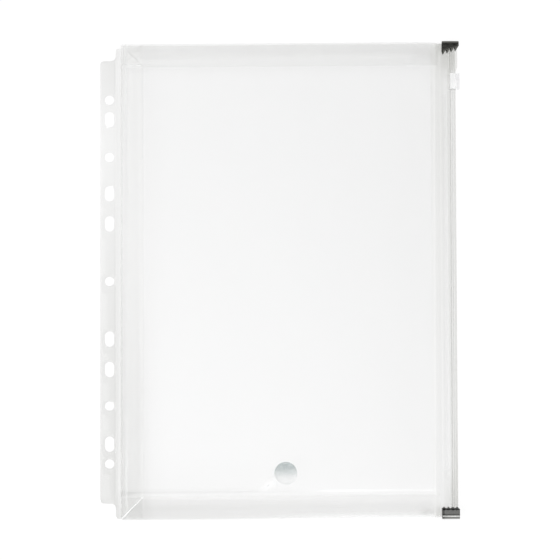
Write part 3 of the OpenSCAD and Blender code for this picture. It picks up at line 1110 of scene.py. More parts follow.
@dataclass
class BindingStrip:
    """The punched strip: one sheet with half-round edges, eleven holes and a scored crease.

    Its outline is a polygon with curved corners. Edges are half circles carried along the outline and the
    holes, and the two faces between them are triangulated.
    """

    plan: Plan
    tab_corner: float = 0.003
    flare: float = 0.0025
    flare_curve: float = 0.0036
    margin_top: float = 0.0017
    margin_corner: float = 0.003
    small_corner: float = 0.0006
    lap: float = 0.0007
    raised: float = 0.00002
    outline_step: float = 0.004
    edge_steps: int = 6
    hole_points: int = 40
    crease_half: float = 0.0006
    crease_depth: float = 0.00016
    crease_reach: float = 1.5
    crease_lines: int = 7
    crease_rows: int = 97
    crease_fade: float = 0.0008
    bend_reach: float = 1.4
    clear: float = 0.0003
    same_mm: float = 1e-6
    # Painted shade up the tab, by Y: deepest at the lower end, lightest a little above the middle.
    tab_dark_y: Sequence[float] = (-0.146, -0.13, -0.1, -0.025, 0.02, 0.086, 0.11, 0.13, 0.146)
    tab_dark: Sequence[float] = (1.0, 1.0, 0.9, 0.78, 0.6, 0.3, 0.3, 0.6, 0.66)

    def outline(self) -> Array:
        """Outer outline: tab, flares at the crease, welded margin and lap under the panel.

        Returns:
            Outline points, anticlockwise, count by 2.
        """
        tab_low, tab_high = corners_of("binding_tab")
        margin_low, margin_high = corners_of("strip_margin")
        tab_y = float(tab_high[1]) - self.flare
        left, edge, top = float(tab_low[0]), float(margin_low[0]), float(margin_high[1])
        inner = self.plan.spine_x + self.lap
        upper = [[inner, top - self.margin_top], [edge, top - self.margin_top], [edge, tab_y], [left, tab_y]]
        lower = [[left, -tab_y], [edge, -tab_y], [edge, -top], [inner, -top]]
        radii = [self.small_corner, self.margin_corner, self.flare_curve, self.tab_corner]
        corners = np.array(lower + upper)
        return subdivided(filleted(corners, np.array(radii[::-1] + radii)), self.outline_step)

    def holes(self) -> list[tuple[float, float, float, float]]:
        """The punched holes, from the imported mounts.

        Returns:
            Each hole as its centre's X and Y, its radius and half its straight run.
        """
        found = []
        for mount in frame["record"]["mounts"]:
            dims, (x, y, _) = mount["dims"], mount["pos_m"]
            if mount["kind"] == "bore":
                found.append((x, y, dims["r_mm"] / MM_PER_M, 0.0))
            elif mount["kind"] == "bolt_pattern":
                r = dims["hole_r_mm"] / MM_PER_M
                run = max(0.0, dims.get("slot_length_mm", 0.0) / 2 / MM_PER_M - r)
                offset = dims["spacing_y_mm"] / 2 / MM_PER_M
                found += [(x, y + sign * offset, r, run) for sign in (-1.0, 1.0)]
        return found

    def hole_outline(self, x: float, y: float, r: float, run: float) -> Array:
        """Clockwise outline of a long hole: a circle whose halves are moved apart along Y."""
        turn = -2 * math.pi * (np.arange(self.hole_points) + 0.5) / self.hole_points
        return np.stack([x + r * np.cos(turn), y + r * np.sin(turn) + run * np.sign(np.sin(turn))], -1)

    def crease_points(self) -> Array:
        """Rows of points along the crease, clear of the holes, which carry its scored groove.

        Returns:
            Points, count by 2.
        """
        middle = joint_place("tab_fold")[0]
        tab_y = float(corners_of("binding_tab")[1][1]) - self.flare
        offsets = np.linspace(-self.crease_reach, self.crease_reach, self.crease_lines) * self.crease_half
        rows = np.linspace(-1.0, 1.0, self.crease_rows) * (tab_y - self.clear)
        x, y = [a.ravel() for a in np.meshgrid(middle + offsets, rows, indexing="ij")]
        keep = np.ones(len(x), bool)
        for hole_x, hole_y, r, run in self.holes():
            off = np.maximum(np.abs(y - hole_y) - run, 0.0)
            keep &= np.hypot(x - hole_x, off) > r + self.clear
        return np.stack([x[keep], y[keep]], -1)

    def faces_between(self, loops: list[Array], inner: Array) -> Array:
        """Triangles of the sheet between its outline and its holes, without those that span one hole.

        Args:
            loops: The outline and the hole outlines, already moved in from the edge.
            inner: Free points inside.

        Returns:
            Point numbers, count by 3, over all the loops' points and then the free points.
        """
        first = np.cumsum([0] + [len(p) for p in loops])
        edges = [(int(a + i), int(a + (i + 1) % n))
                 for a, n in zip(first, map(len, loops)) for i in range(n)]
        flat = np.concatenate([*loops, inner]) * MM_PER_M
        found = delaunay_2d_cdt([Vector(p) for p in flat.tolist()], edges, [], 1, self.same_mm)
        faces = np.array(found[2])
        owner = np.searchsorted(first, np.arange(len(flat)), side="right")[faces]
        in_hole = (owner > 1) & (owner <= len(loops)) & (owner == owner[:, :1])
        return faces[~in_hole.all(axis=1)]

    def painted_shading(self, x: Array, y: Array, crease_x: float) -> Array:
        """Painted shade on the strip: a table up the tab, the margin's tones past the crease, and lines.

        Args:
            x: X of the points.
            y: Y of the points.
            crease_x: X of the crease.

        Returns:
            How far each point takes the darker tint.
        """
        places = {Along.Y: y, Along.SPINE: x - self.plan.spine_x, Along.TAB: x - x.min(),
                  Along.CREASE: x - crease_x}
        tab = np.interp(y, self.tab_dark_y, self.tab_dark) * (1.0 + toned(TAB_GAIN, places))
        past = ease(places[Along.CREASE], 0.0, self.crease_fade)
        both = tab + (toned(MARGIN_TONES, places) - tab) * past
        return both * (1.0 + toned(LAP_GAIN, places)) + toned(STRIP_LINES, places)

    def build(self, finish: bpy.types.Material) -> bpy.types.Object:
        """Builds the strip, scored along its crease.

        Args:
            finish: The strip's material.

        Returns:
            The punched strip.
        """
        low, high = corners_of("strip_margin")
        r = float(high[2] - low[2]) / 2
        mid_z = float(low[2]) + r + self.raised
        loops = [self.outline()] + [self.hole_outline(*h) for h in self.holes()]
        inward = [left_normals(p) for p in loops]
        inner = self.crease_points()
        capped = [p + n * r for p, n in zip(loops, inward)]
        triangles = self.faces_between(capped, inner)
        flat = np.concatenate([*capped, inner])
        middle = joint_place("tab_fold")[0]
        score = np.clip(1.0 - np.abs(flat[:, 0] - middle) / self.crease_half, 0.0, 1.0) * self.crease_depth
        top = np.column_stack([flat, mid_z + r - score])
        bottom = np.column_stack([flat, np.full(len(flat), mid_z - r)])
        points, faces = [top, bottom], [triangles, triangles[:, ::-1] + len(flat)]
        turn = np.linspace(0.0, math.pi, self.edge_steps + 1)[1:-1]
        first = np.cumsum([0] + [len(p) for p in loops])
        used = 2 * len(flat)
        for loop, normal, start in zip(loops, inward, first):
            ring = loop[None] + normal[None] * (r * (1.0 - np.sin(turn)))[:, None, None]
            z = np.broadcast_to((mid_z + r * np.cos(turn))[:, None, None], (*ring.shape[:2], 1))
            points.append(np.concatenate([ring, z], -1).reshape(-1, 3))
            own = start + np.arange(len(loop))
            made = used + np.arange(ring.shape[0] * len(loop)).reshape(ring.shape[0], -1)
            rows = np.concatenate([own[None], made, own[None] + len(flat)])
            ahead = np.roll(rows, -1, axis=1)
            faces.append(np.stack([rows[:-1], rows[1:], ahead[1:], ahead[:-1]], -1).reshape(-1, 4))
            used += made.size
        points = np.concatenate(points)
        shade = self.painted_shading(points[:, 0], points[:, 1], middle)
        piece = put("punched_strip", Skin(points, faces), finish, sharp_deg=50.0, shade=shade)
        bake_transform(piece)
        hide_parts("strip_margin", "binding_tab")
        return piece


# Painted shade on the zip: lines along the locked profile, deeper by the end clips, and tones over the
# flanges.
LOWER_PART = (Along.Y, 0.03, -0.12)
UPPER_PART = (Along.Y, -0.12, 0.03)
UPPER_QUARTER = (Along.Y, 0.03, 0.11)
TOP_END = (Along.Y, 0.128, 0.148)
LOW_END = (Along.Y, -0.118, -0.146)
OUTER_LINES = (Along.OVER, 0.0026, 0.0032)
ON_FLANGE = (Along.OVER, 0.0, -0.0004)
ON_FLAT = (Along.FLANGE, 0.0056, 0.0096)
FROM_FILM = (Along.FLANGE, -0.001, 0.0056)
FLANGE_FALL = ((Along.FLANGE, 0.0, 0.0056), (Along.FLANGE, 0.0096, 0.0066))
TRACK_FADE: dict[str, Tone] = {
    "paler inside lines, lower part": Tone(-0.6, [LOWER_PART, (Along.OVER, 0.0016, 0.001)]),
}
TRACK_LINES: dict[str, Tone] = {
    "middle line": Tone(0.08, [(Along.Y, -0.1, -0.02), (Along.Y, 0.11, 0.03)],
                        [(Along.OVER, 0.0029, 0.0006)]),
    "paler upper line": Tone(-0.12, [UPPER_QUARTER], [(Along.OVER, 0.0032, 0.0008)]),
    "lower outer lines": Tone(0.2, [(Along.Y, -0.07, -0.14), OUTER_LINES]),
    "paler outer lines at the lower end": Tone(-0.14, [LOW_END, OUTER_LINES]),
    "upper inside line": Tone(0.16, [UPPER_QUARTER], [(Along.OVER, 0.0003, 0.0006)]),
    "upper groove line": Tone(0.16, [UPPER_QUARTER], [(Along.OVER, 0.0023, 0.0006)]),
}
TRACK_GAIN: dict[str, Tone] = {
    "by the upper clip": Tone(0.9, [TOP_END]),
    "by the lower clip": Tone(0.3, [(Along.Y, -0.14, -0.15)]),
}
FLANGE_TONES: dict[str, Tone] = {
    "fall": Tone(0.05, FLANGE_FALL),
    "upper fall": Tone(0.08, [*FLANGE_FALL, UPPER_PART]),
    "whole flange": Tone(0.05, [ON_FLANGE]),
    "upper part": Tone(0.05, [ON_FLANGE, UPPER_PART]),
    "upper quarter": Tone(0.13, [ON_FLANGE, UPPER_QUARTER]),
    "top end": Tone(0.3, [FROM_FILM, ON_FLANGE, TOP_END]),
    "low end": Tone(0.55, [FROM_FILM, ON_FLANGE, (Along.Y, -0.1478, -0.1515)]),
    "flat at the top end": Tone(0.32, [ON_FLAT, TOP_END]),
    "flat at the low end": Tone(0.3, [ON_FLAT, LOW_END]),
    "under the upper clip": Tone(0.3, [(Along.FLANGE, 0.0026, 0.0051), ON_FLANGE, (Along.Y, 0.147, 0.152)]),
}


@dataclass
class ZipTracks:
    """The two halves of the press-lock zip: one section each, carried along Y.

    A section is drawn as X against the height over the zip's middle plane, for the back half. The front half
    is its mirror image, with a rib in place of the two jaws.
    """

    plan: Plan
    pocket: FilmPocket
    slope_w: float = 0.0056
    flat_w: float = 0.0052
    flange_t: float = 0.0004
    track_half: float = 0.0017
    lip_half: float = 0.0009
    jaw_inset: float = 0.0012
    jaw_t: float = 0.0006
    jaw_rise: float = 0.0005
    groove_w: float = 0.0018
    hook_w: float = 0.0003
    hook_t: float = 0.00035
    tip_drop: float = 0.0005
    tip_w: float = 0.0008
    runner_inset: float = 0.0014
    runner_w: float = 0.0012
    runner_d: float = 0.0005
    runner_slant: float = 0.0003
    edge_w: float = 0.0009
    edge_h: float = 0.0005
    shoulder: float = 0.0002
    tiny: float = 0.0001
    clear: float = 0.0002
    flange_rows: int = 24
    fall_end: float = 0.68
    fall_skew: float = 1.3
    fall_lift: float = 0.00018
    lift_start: float = 0.74
    soften: float = 0.0003
    soften_steps: int = 3
    splay: float = 0.0012
    flange_over: float = 0.0007
    splay_y: Sequence[float] = (0.1358, 0.1405)
    # Painted shade across the track, at distances past its inside edge.
    dark_x: Sequence[float] = (0.0, 0.0002, 0.0005, 0.001, 0.0014, 0.002, 0.0026, 0.0032, 0.0037, 0.0042,
                               0.0049, 0.0056)
    dark: Sequence[float] = (0.3, 0.46, 0.48, 0.42, 0.34, 0.38, 0.35, 0.31, 0.3, 0.33, 0.58, 0.46)
    step: float = 0.003
    rib_pitch: float = 0.00115
    rib_w: float = 0.00062
    rib_h: float = 0.0002
    rib_sink: float = 0.0001
    rib_points: int = 6
    rib_x: Sequence[float] = (0.0019, 0.0046)
    rib_y: Sequence[float] = (-0.131, 0.122)

    @property
    def track_x(self) -> float:
        """X of the tracks' inside edge."""
        return self.plan.zip_x + self.slope_w + self.flat_w

    def flange(self, inset: float) -> list[list[float]]:
        """One face of the back flange, from the film to the track.

        From the film's height the face falls on a smooth step that is steepest past its middle, and then
        rises a little towards the track.

        Args:
            inset: Depth of the face under the outer one.

        Returns:
            Points as X and height over the middle plane.
        """
        width = self.slope_w + self.flat_w
        s = np.linspace(0.0, width - self.shoulder, self.flange_rows)
        share = (s / (width * self.fall_end)) ** self.fall_skew
        film = self.plan.mid_z - self.plan.film_t
        face = self.lip_half + self.flange_t
        lift = self.fall_lift * ease(s, width * self.lift_start, width)
        height = film - (film - face) * ease(share, 0.0, 1.0) + lift
        return np.stack([self.plan.zip_x + s, inset - height], -1).tolist()

    def outside(self) -> list[list[float]]:
        """Outside of the back half, from the film to the outer edge, with a groove for the runner.

        Returns:
            Points as X and height over the middle plane.
        """
        track, crown = self.track_x, -self.track_half
        right = float(corners_of("zip_track_back")[1][0])
        start = track + self.runner_inset
        end, floor, slant = start + self.runner_w, crown + self.runner_d, self.runner_slant
        groove = [[start, crown], [start + slant, floor], [end - slant, floor], [end, crown]]
        lines = [[track + x, crown] for x in self.dark_x if track + x > end + self.tiny]
        edge = [[right - self.edge_w, crown], [right, crown + self.edge_h], [right, -self.lip_half]]
        return self.flange(0.0) + [[track + self.shoulder, crown]] + groove + lines[:-2] + edge

    def flange_inside(self) -> list[list[float]]:
        """Inside of the back flange, from the track back to the film."""
        return self.flange(self.flange_t)[::-1]

    def jaws(self) -> list[list[float]]:
        """Two hooked jaws, from the outer edge inwards.

        Returns:
            Points as X and height over the middle plane.
        """
        jaw = self.track_x + self.jaw_inset
        groove = jaw + self.jaw_t
        far = groove + self.groove_w
        top, under, root = self.jaw_rise, self.jaw_rise - self.hook_t, -self.lip_half
        return [[far + self.jaw_t, root], [far + self.jaw_t, top], [far - self.hook_w, top],
                [far - self.hook_w, under], [far, under], [far, root], [groove, root], [groove, under],
                [groove + self.hook_w, under], [groove + self.hook_w, top], [jaw, top], [jaw, root]]

    def rib(self) -> list[list[float]]:
        """Arrow-headed rib, drawn as part of a back half.

        Returns:
            Points as X and height over the middle plane.
        """
        middle = self.track_x + self.jaw_inset + self.jaw_t + self.groove_w / 2
        stem = self.groove_w / 2 - self.hook_w - self.clear
        head = self.groove_w / 2 - self.clear
        side = [[stem, -self.lip_half], [stem, 0.0], [head, 0.0], [self.tip_w / 2, self.tip_drop]]
        return [[middle + x, z] for x, z in side] + [[middle - x, z] for x, z in side[::-1]]

    def carried(self, section: list[list[float]], up: float, half: Half) -> tuple[Skin, Array]:
        """A section with softened corners, carried along the length of the tracks.

        The front half's flange follows the film's drop, less and less towards the track, and its track leans
        out above the runner.

        Args:
            section: Corners as X and height over the middle plane.
            up: 1 for the back half as drawn, -1 for its mirror image.
            half: The part of the length to cover.

        Returns:
            The closed extrusion, and its painted shade along the lines of the locked profile.
        """
        plan = self.plan
        corners = np.array(section)
        radii = np.where(corners[:, 0] < plan.zip_x + self.tiny, 0.0, self.soften)
        outline = filleted(corners, radii, self.soften_steps)
        low, high = (sign * plan.track_reach for sign in half.value)
        y = np.linspace(low, high, round((high - low) / self.step) + 1)[:, None]
        flat = plan.zip_x + self.slope_w
        front = float(up < 0)
        lean = front * self.splay * ease(y, *self.splay_y)
        x = outline[None, :, 0] + lean * ease(outline[:, 0], flat, flat + self.flat_w)
        across = (outline[:, 0] - plan.zip_x) / (outline[:, 0].max() - plan.zip_x)
        y = y * (1.0 + self.flange_over / plan.track_reach * (1.0 - across))
        fallen = front * self.pocket.drop(np.full_like(y, plan.zip_x), y) / (plan.mid_z - plan.film_t)
        z = plan.mid_z + up * outline[:, 1] * (1.0 + fallen * (1.0 - ease(outline[:, 0], plan.zip_x, flat)))
        return swept(np.stack([x, y, z], -1)), self.painted_shading(outline[None, :, 0], y).ravel()

    def painted_shading(self, x: Array, y: Array) -> Array:
        """Painted shade on the flanges and tracks: lines along the locked profile, deeper by the end clips.

        Args:
            x: X of the points.
            y: Y of the points.

        Returns:
            How far each point takes the darker tint.
        """
        places = {Along.Y: y, Along.FLANGE: x - self.plan.zip_x, Along.OVER: x - self.track_x}
        table = np.interp(places[Along.OVER], self.dark_x, self.dark, left=0.0)
        lines = table * (1.0 + toned(TRACK_FADE, places)) + toned(TRACK_LINES, places)
        return lines * (1.0 + toned(TRACK_GAIN, places)) + toned(FLANGE_TONES, places)

    def back(self, finish: bpy.types.Material) -> bpy.types.Object:
        """Builds the grooved track on the back film.

        Args:
            finish: The track's material.

        Returns:
            The track, riding on the pocket.
        """
        skin, shade = self.carried(self.outside() + self.jaws() + self.flange_inside(), 1.0, Half.WHOLE)
        piece = put("grooved_track", skin, finish, sharp_deg=50.0, shade=shade)
        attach(piece, "pocket")
        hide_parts("zip_track_back")
        return piece

    def front(self, half: Half, finish: bpy.types.Material, blend: MouthBlend) -> bpy.types.Object:
        """Builds one half of the ribbed track on the front film, with the ribs of its weld.

        Args:
            half: The half of the height to cover.
            finish: The track's material.
            blend: What settles the front pieces in place.

        Returns:
            The half track.
        """
        skin, shade = self.carried(self.outside() + self.rib() + self.flange_inside(), -1.0, half)
        ribs = self.weld_ribs(half)
        piece = put(f"ribbed_track_{half.name.lower()}", skin.joined(ribs), finish, sharp_deg=50.0,
                    shade=np.append(shade, np.zeros(len(ribs.points))))
        blend.apply(piece, half)
        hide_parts("zip_track_front")
        return piece

    def weld_ribs(self, half: Half) -> Skin:
        """Fine cross ribs of the heat weld on the flat of the flange: half-round bars, a pitch apart.

        Args:
            half: The half of the height to cover.

        Returns:
            The closed ribs.
        """
        flat = self.plan.zip_x + self.slope_w
        face = self.plan.mid_z + self.lip_half + self.flange_t
        low, high = (sign * self.plan.track_reach for sign in half.value)
        y = np.arange(self.rib_y[0], self.rib_y[1], self.rib_pitch)
        y = y[(y > low + self.rib_w) & (y < high - self.rib_w)]
        turn = np.linspace(0.0, math.pi, self.rib_points)
        round_y = np.append(self.rib_w / 2 * np.cos(turn), [-self.rib_w / 2, self.rib_w / 2])
        round_z = np.append(self.rib_h * np.sin(turn), [-self.rib_sink, -self.rib_sink])
        ends = flat + np.array(self.rib_x)
        loops = np.stack([np.stack([np.full_like(round_y, x), round_y, face + round_z], -1) for x in ends])
        offsets = np.stack([np.zeros_like(y), y, np.zeros_like(y)], -1)
        return swept(loops).repeated(offsets)


@dataclass
class Runner:
    """The slider on the zip: a channel with lips, rounded at its ends, and the fin that parts the tracks.

    Its outer faces are milky, with a painted glint slanting across the top. Towards the zip's outer edge the
    milk fades out and painted shade makes them darker.
    """

    plan: Plan
    wall: float = 0.0012
    lip: float = 0.0008
    side: float = 0.0013
    mouth_half: float = 0.0016
    edge_r: float = 0.001
    lip_r: float = 0.0006
    small_r: float = 0.00025
    end_r: float = 0.00012
    end_loops: int = 5
    fin_l: float = 0.0045
    fin_t: float = 0.0009
    fin_w: float = 0.0027
    fin_places: Sequence[float] = (0.0, 0.6, 1.0)
    fin_thinning: float = 0.6
    fin_narrowing: float = 0.25
    tone_step: float = 0.0005
    skin_blur: float = 0.0001
    milk: float = 0.42
    bare_w: Sequence[float] = (0.002, 0.0036)
    glint: float = 0.2
    glint_slope: float = 0.6
    glint_at: float = 0.0005
    glint_half: float = 0.0022
    dark: float = 0.6
    dark_w: Sequence[float] = (0.0004, 0.0034)
    dark_power: float = 1.2

    def section(self) -> tuple[Array, Array]:
        """Outline of the channel, anticlockwise, as X and height over the middle plane.

        Returns:
            The corners and the radius of each.
        """
        low, high = corners_of("slider")
        left, right = float(low[0]), float(high[0])
        outer = float(high[2] - low[2]) / 2
        inner = outer - self.wall
        deep = right - self.side
        upper = [[right, outer], [left, outer], [left, self.mouth_half], [left + self.lip, self.mouth_half],
                 [left + self.lip, inner], [deep, inner]]
        lower = [[x, -z] for x, z in upper[::-1]]
        radii = [self.edge_r, self.lip_r] + [self.small_r] * 4
        return np.array(upper + lower), np.array(radii + radii[::-1])

    def build(self, finish: bpy.types.Material) -> bpy.types.Object:
        """Builds the runner: its section carried along Y, drawn in on a quarter circle at both ends.

        Args:
            finish: The runner's material.

        Returns:
            The runner, riding on its body.
        """
        low, high = corners_of("slider")
        outline = subdivided(filleted(*self.section()), self.tone_step)
        normal = left_normals(outline)
        turn = np.linspace(0.0, math.pi / 2, self.end_loops)
        drawn_in, rise = self.end_r * (1 - np.sin(turn)), self.end_r * (1 - np.cos(turn))
        inset = np.concatenate([drawn_in, drawn_in[::-1]])
        loops = outline[None] + normal[None] * inset[:, None, None]
        y = np.concatenate([low[1] + rise, (high[1] - rise)[::-1]])[:, None]
        z = self.plan.mid_z + loops[:, :, 1]
        skin = swept(np.stack([loops[:, :, 0], np.broadcast_to(y, z.shape), z], -1))
        outer = float(high[2] - low[2]) / 2 - self.wall / 2
        skinned = ease(np.abs(loops[:, :, 1]), outer - self.skin_blur, outer + self.skin_blur)
        from_right = high[0] - loops[:, :, 0]
        # Painted glint, milk that fades out towards the outer side, and painted shade that grows there.
        glint = ridge(high[1] - y - self.glint_slope * from_right, self.glint_at, self.glint_half)
        bloom = (self.milk + self.glint * glint) * ease(from_right, *self.bare_w) * skinned
        near, far = self.dark_w
        across = np.clip((far - from_right) / (far - near), 0.0, 1.0)
        shade = self.dark * across**self.dark_power * skinned
        fin = self.fin(float(high[0]), float(high[1]))
        none = np.zeros(len(fin.points))
        piece = put("zip_runner", skin.joined(fin), finish, sharp_deg=50.0,
                    shade=np.append(shade, none), bloom=np.append(bloom, none), askew=0.0)
        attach(piece, "slider")
        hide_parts("slider")
        return piece

    def fin(self, right: float, top: float) -> Skin:
        """The fin between the tracks: a tapered bar carried from the runner's side inwards.

        Args:
            right: X of the runner's outer side.
            top: Y of its upper end.

        Returns:
            The closed fin.
        """
        share = np.array(self.fin_places)[:, None]
        y = top - self.end_r - self.fin_l * np.array([0.0, 1.0, 1.0, 0.0])
        z = self.fin_t / 2 * np.array([-1.0, -1.0, 1.0, 1.0])
        x = right - self.side / 2 - self.fin_w * share
        thin = 1.0 - self.fin_thinning * share**2
        ys = y.mean() + (y - y.mean()) * (1.0 - self.fin_narrowing * share**2)
        return swept(np.stack([np.broadcast_to(x, ys.shape), ys, self.plan.mid_z + z * thin], -1))


@dataclass
class EndClip:
    """A steel clip folded over the end of the zip: two toothed plates and a round bend.

    The sheet's middle is a U in Y and Z, carried along X. Its free edges follow a zigzag, and the last part
    of each tooth turns in towards the tracks.
    """

    node: str
    slot: str
    sheet_t: float = 0.0005
    tooth_l: float = 0.0026
    teeth: int = 4
    tip_at: float = 0.25
    slant: float = 0.0
    level: float = 0.2
    bite: float = 0.0008
    room: float = 0.0004
    trim: float = 0.0
    set_back: float = 0.0
    tooth_columns: int = 16
    plate_rows: int = 9
    bend_rows: int = 17
    root_shade: float = 0.0
    root_half: float = 0.0007
    bend_half: float = 0.0006
    side_shade: float = 0.0
    side_half: float = 0.0008
    bend_highlight: float = 0.0
    glint_line: Sequence[float] = (0.0004, 0.0005)
    glint_edge: Sequence[float] = (0.0016, 0.0026)
    edge_share: float = 0.8

    def build(self, name: str, finish: bpy.types.Material) -> bpy.types.Object:
        """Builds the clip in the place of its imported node.

        Args:
            name: Piece name.
            finish: The steel.

        Returns:
            The clip, riding on the pocket.
        """
        low, high = corners_of(self.node)
        upward = 1.0 if low[1] > 0 else -1.0
        bend_r = float(high[2] - low[2] - self.sheet_t) / 2 + self.room
        mid_z = float(low[2] + high[2]) / 2
        outer = max(abs(low[1]), abs(high[1]))
        bend_y = outer - bend_r - self.sheet_t / 2
        tip_y = min(abs(low[1]), abs(high[1])) + self.set_back
        x = np.linspace(low[0] + self.trim, high[0], self.teeth * self.tooth_columns + 1)
        share = (x - x[0]) / (x[-1] - x[0])
        wave = np.interp(share * self.teeth % 1.0, (0.0, self.tip_at, 1.0), (1.0, 0.0, 1.0))
        lean = self.slant * (share - self.level)
        free_y = tip_y + self.tooth_l * wave + lean
        flat = np.linspace(0.0, 1.0, self.plate_rows)
        ones = np.ones_like(flat)
        turn = np.linspace(-math.pi / 2, math.pi / 2, self.bend_rows)[1:-1]
        y_flat = free_y[:, None] + (bend_y - free_y[:, None]) * flat
        y_turn = np.broadcast_to(bend_y + bend_r * np.cos(turn), (len(x), len(turn)))
        bite = self.bite * np.clip(1.0 - (y_flat - tip_y - lean[:, None]) / self.tooth_l, 0.0, None)
        y = np.concatenate([y_flat, y_turn, y_flat[:, ::-1]], axis=1)
        z = np.concatenate([-bend_r + bite, np.broadcast_to(bend_r * np.sin(turn), y_turn.shape),
                            (bend_r - bite)[:, ::-1]], axis=1)
        out_y = np.concatenate([0.0 * ones, np.cos(turn), 0.0 * ones]) * self.sheet_t / 2
        out_z = np.concatenate([-ones, np.sin(turn), ones]) * self.sheet_t / 2
        across = np.broadcast_to(x[:, None], y.shape)
        outside = np.stack([across, upward * (y + out_y), mid_z + z + out_z], -1)
        inside = np.stack([across, upward * (y - out_y), mid_z + z - out_z], -1)
        over = y - bend_y
        # Painted shade along the tooth roots, the start of the bend and the left side; a painted highlight
        # along the bend.
        roots = ridge(y, tip_y + self.tooth_l, self.root_half) + ridge(over, -self.bend_half, self.bend_half)
        side = ridge(across, low[0] + self.side_half, self.side_half)
        shade = self.root_shade * roots + self.side_shade * side
        glint = np.maximum(ridge(over, *self.glint_line), self.edge_share * ease(over, *self.glint_edge))
        bloom = self.bend_highlight * glint
        piece = put(name, shell(outside, inside), finish, sharp_deg=40.0, shade=np.stack([shade] * 2),
                    bloom=np.stack([bloom] * 2))
        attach(piece, "pocket")
        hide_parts(self.node)
        return piece


@dataclass
class PlainDisc:
    """The plain pressed disc on the front film: rings carried along a section with a rim and a low crown.

    It is darker at the upper edge, fading to its plain tint towards the lower one.
    """

    pocket: FilmPocket
    centre_r: float = 0.0002
    rim_w: float = 0.001
    rim_h: float = 0.0001
    rim_side: float = 0.5
    rim_crest: Sequence[float] = (0.3, 0.8)
    dome: float = 0.0001
    crown_rings: int = 8
    ring_points: int = 72
    dark_reach: Sequence[float] = (-0.75, 0.6)

    def build(self, finish: bpy.types.Material, blend: MouthBlend) -> bpy.types.Object:
        """Builds the disc on the film's own relief.

        Args:
            finish: The disc's material.
            blend: What settles the front pieces in place.

        Returns:
            The disc.
        """
        low, high = corners_of("label_disc")
        middle = (low + high) / 2
        radius = float(high[0] - low[0]) / 2
        face = float(high[2] - low[2]) - self.rim_h
        inner = radius - self.rim_w
        under = np.array([[self.centre_r, 0.0], [radius / 2, 0.0], [radius, 0.0]])
        r = np.linspace(inner, self.centre_r, self.crown_rings)
        crown = np.stack([r, face + self.dome * (1.0 - (r / inner) ** 2)], -1)
        crest = [[radius - self.rim_w * share, face + self.rim_h] for share in self.rim_crest]
        rim = np.array([[radius, face + self.rim_h * self.rim_side]] + crest)
        rings = np.concatenate([under, rim, crown])
        turn = 2 * math.pi * np.arange(self.ring_points) / self.ring_points
        x = middle[0] + rings[:, :1] * np.cos(turn)
        y = middle[1] + rings[:, :1] * np.sin(turn)
        z = float(low[2]) + rings[:, 1:] + self.pocket.relief(x, y)
        shade = 1.0 - ease((middle[1] - y) / radius, *self.dark_reach)
        piece = put("plain_disc", swept(np.stack([x, y, z], -1)), finish, sharp_deg=40.0, shade=shade)
        blend.apply(piece, Half.LOWER)
        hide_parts("label_disc")
        return piece


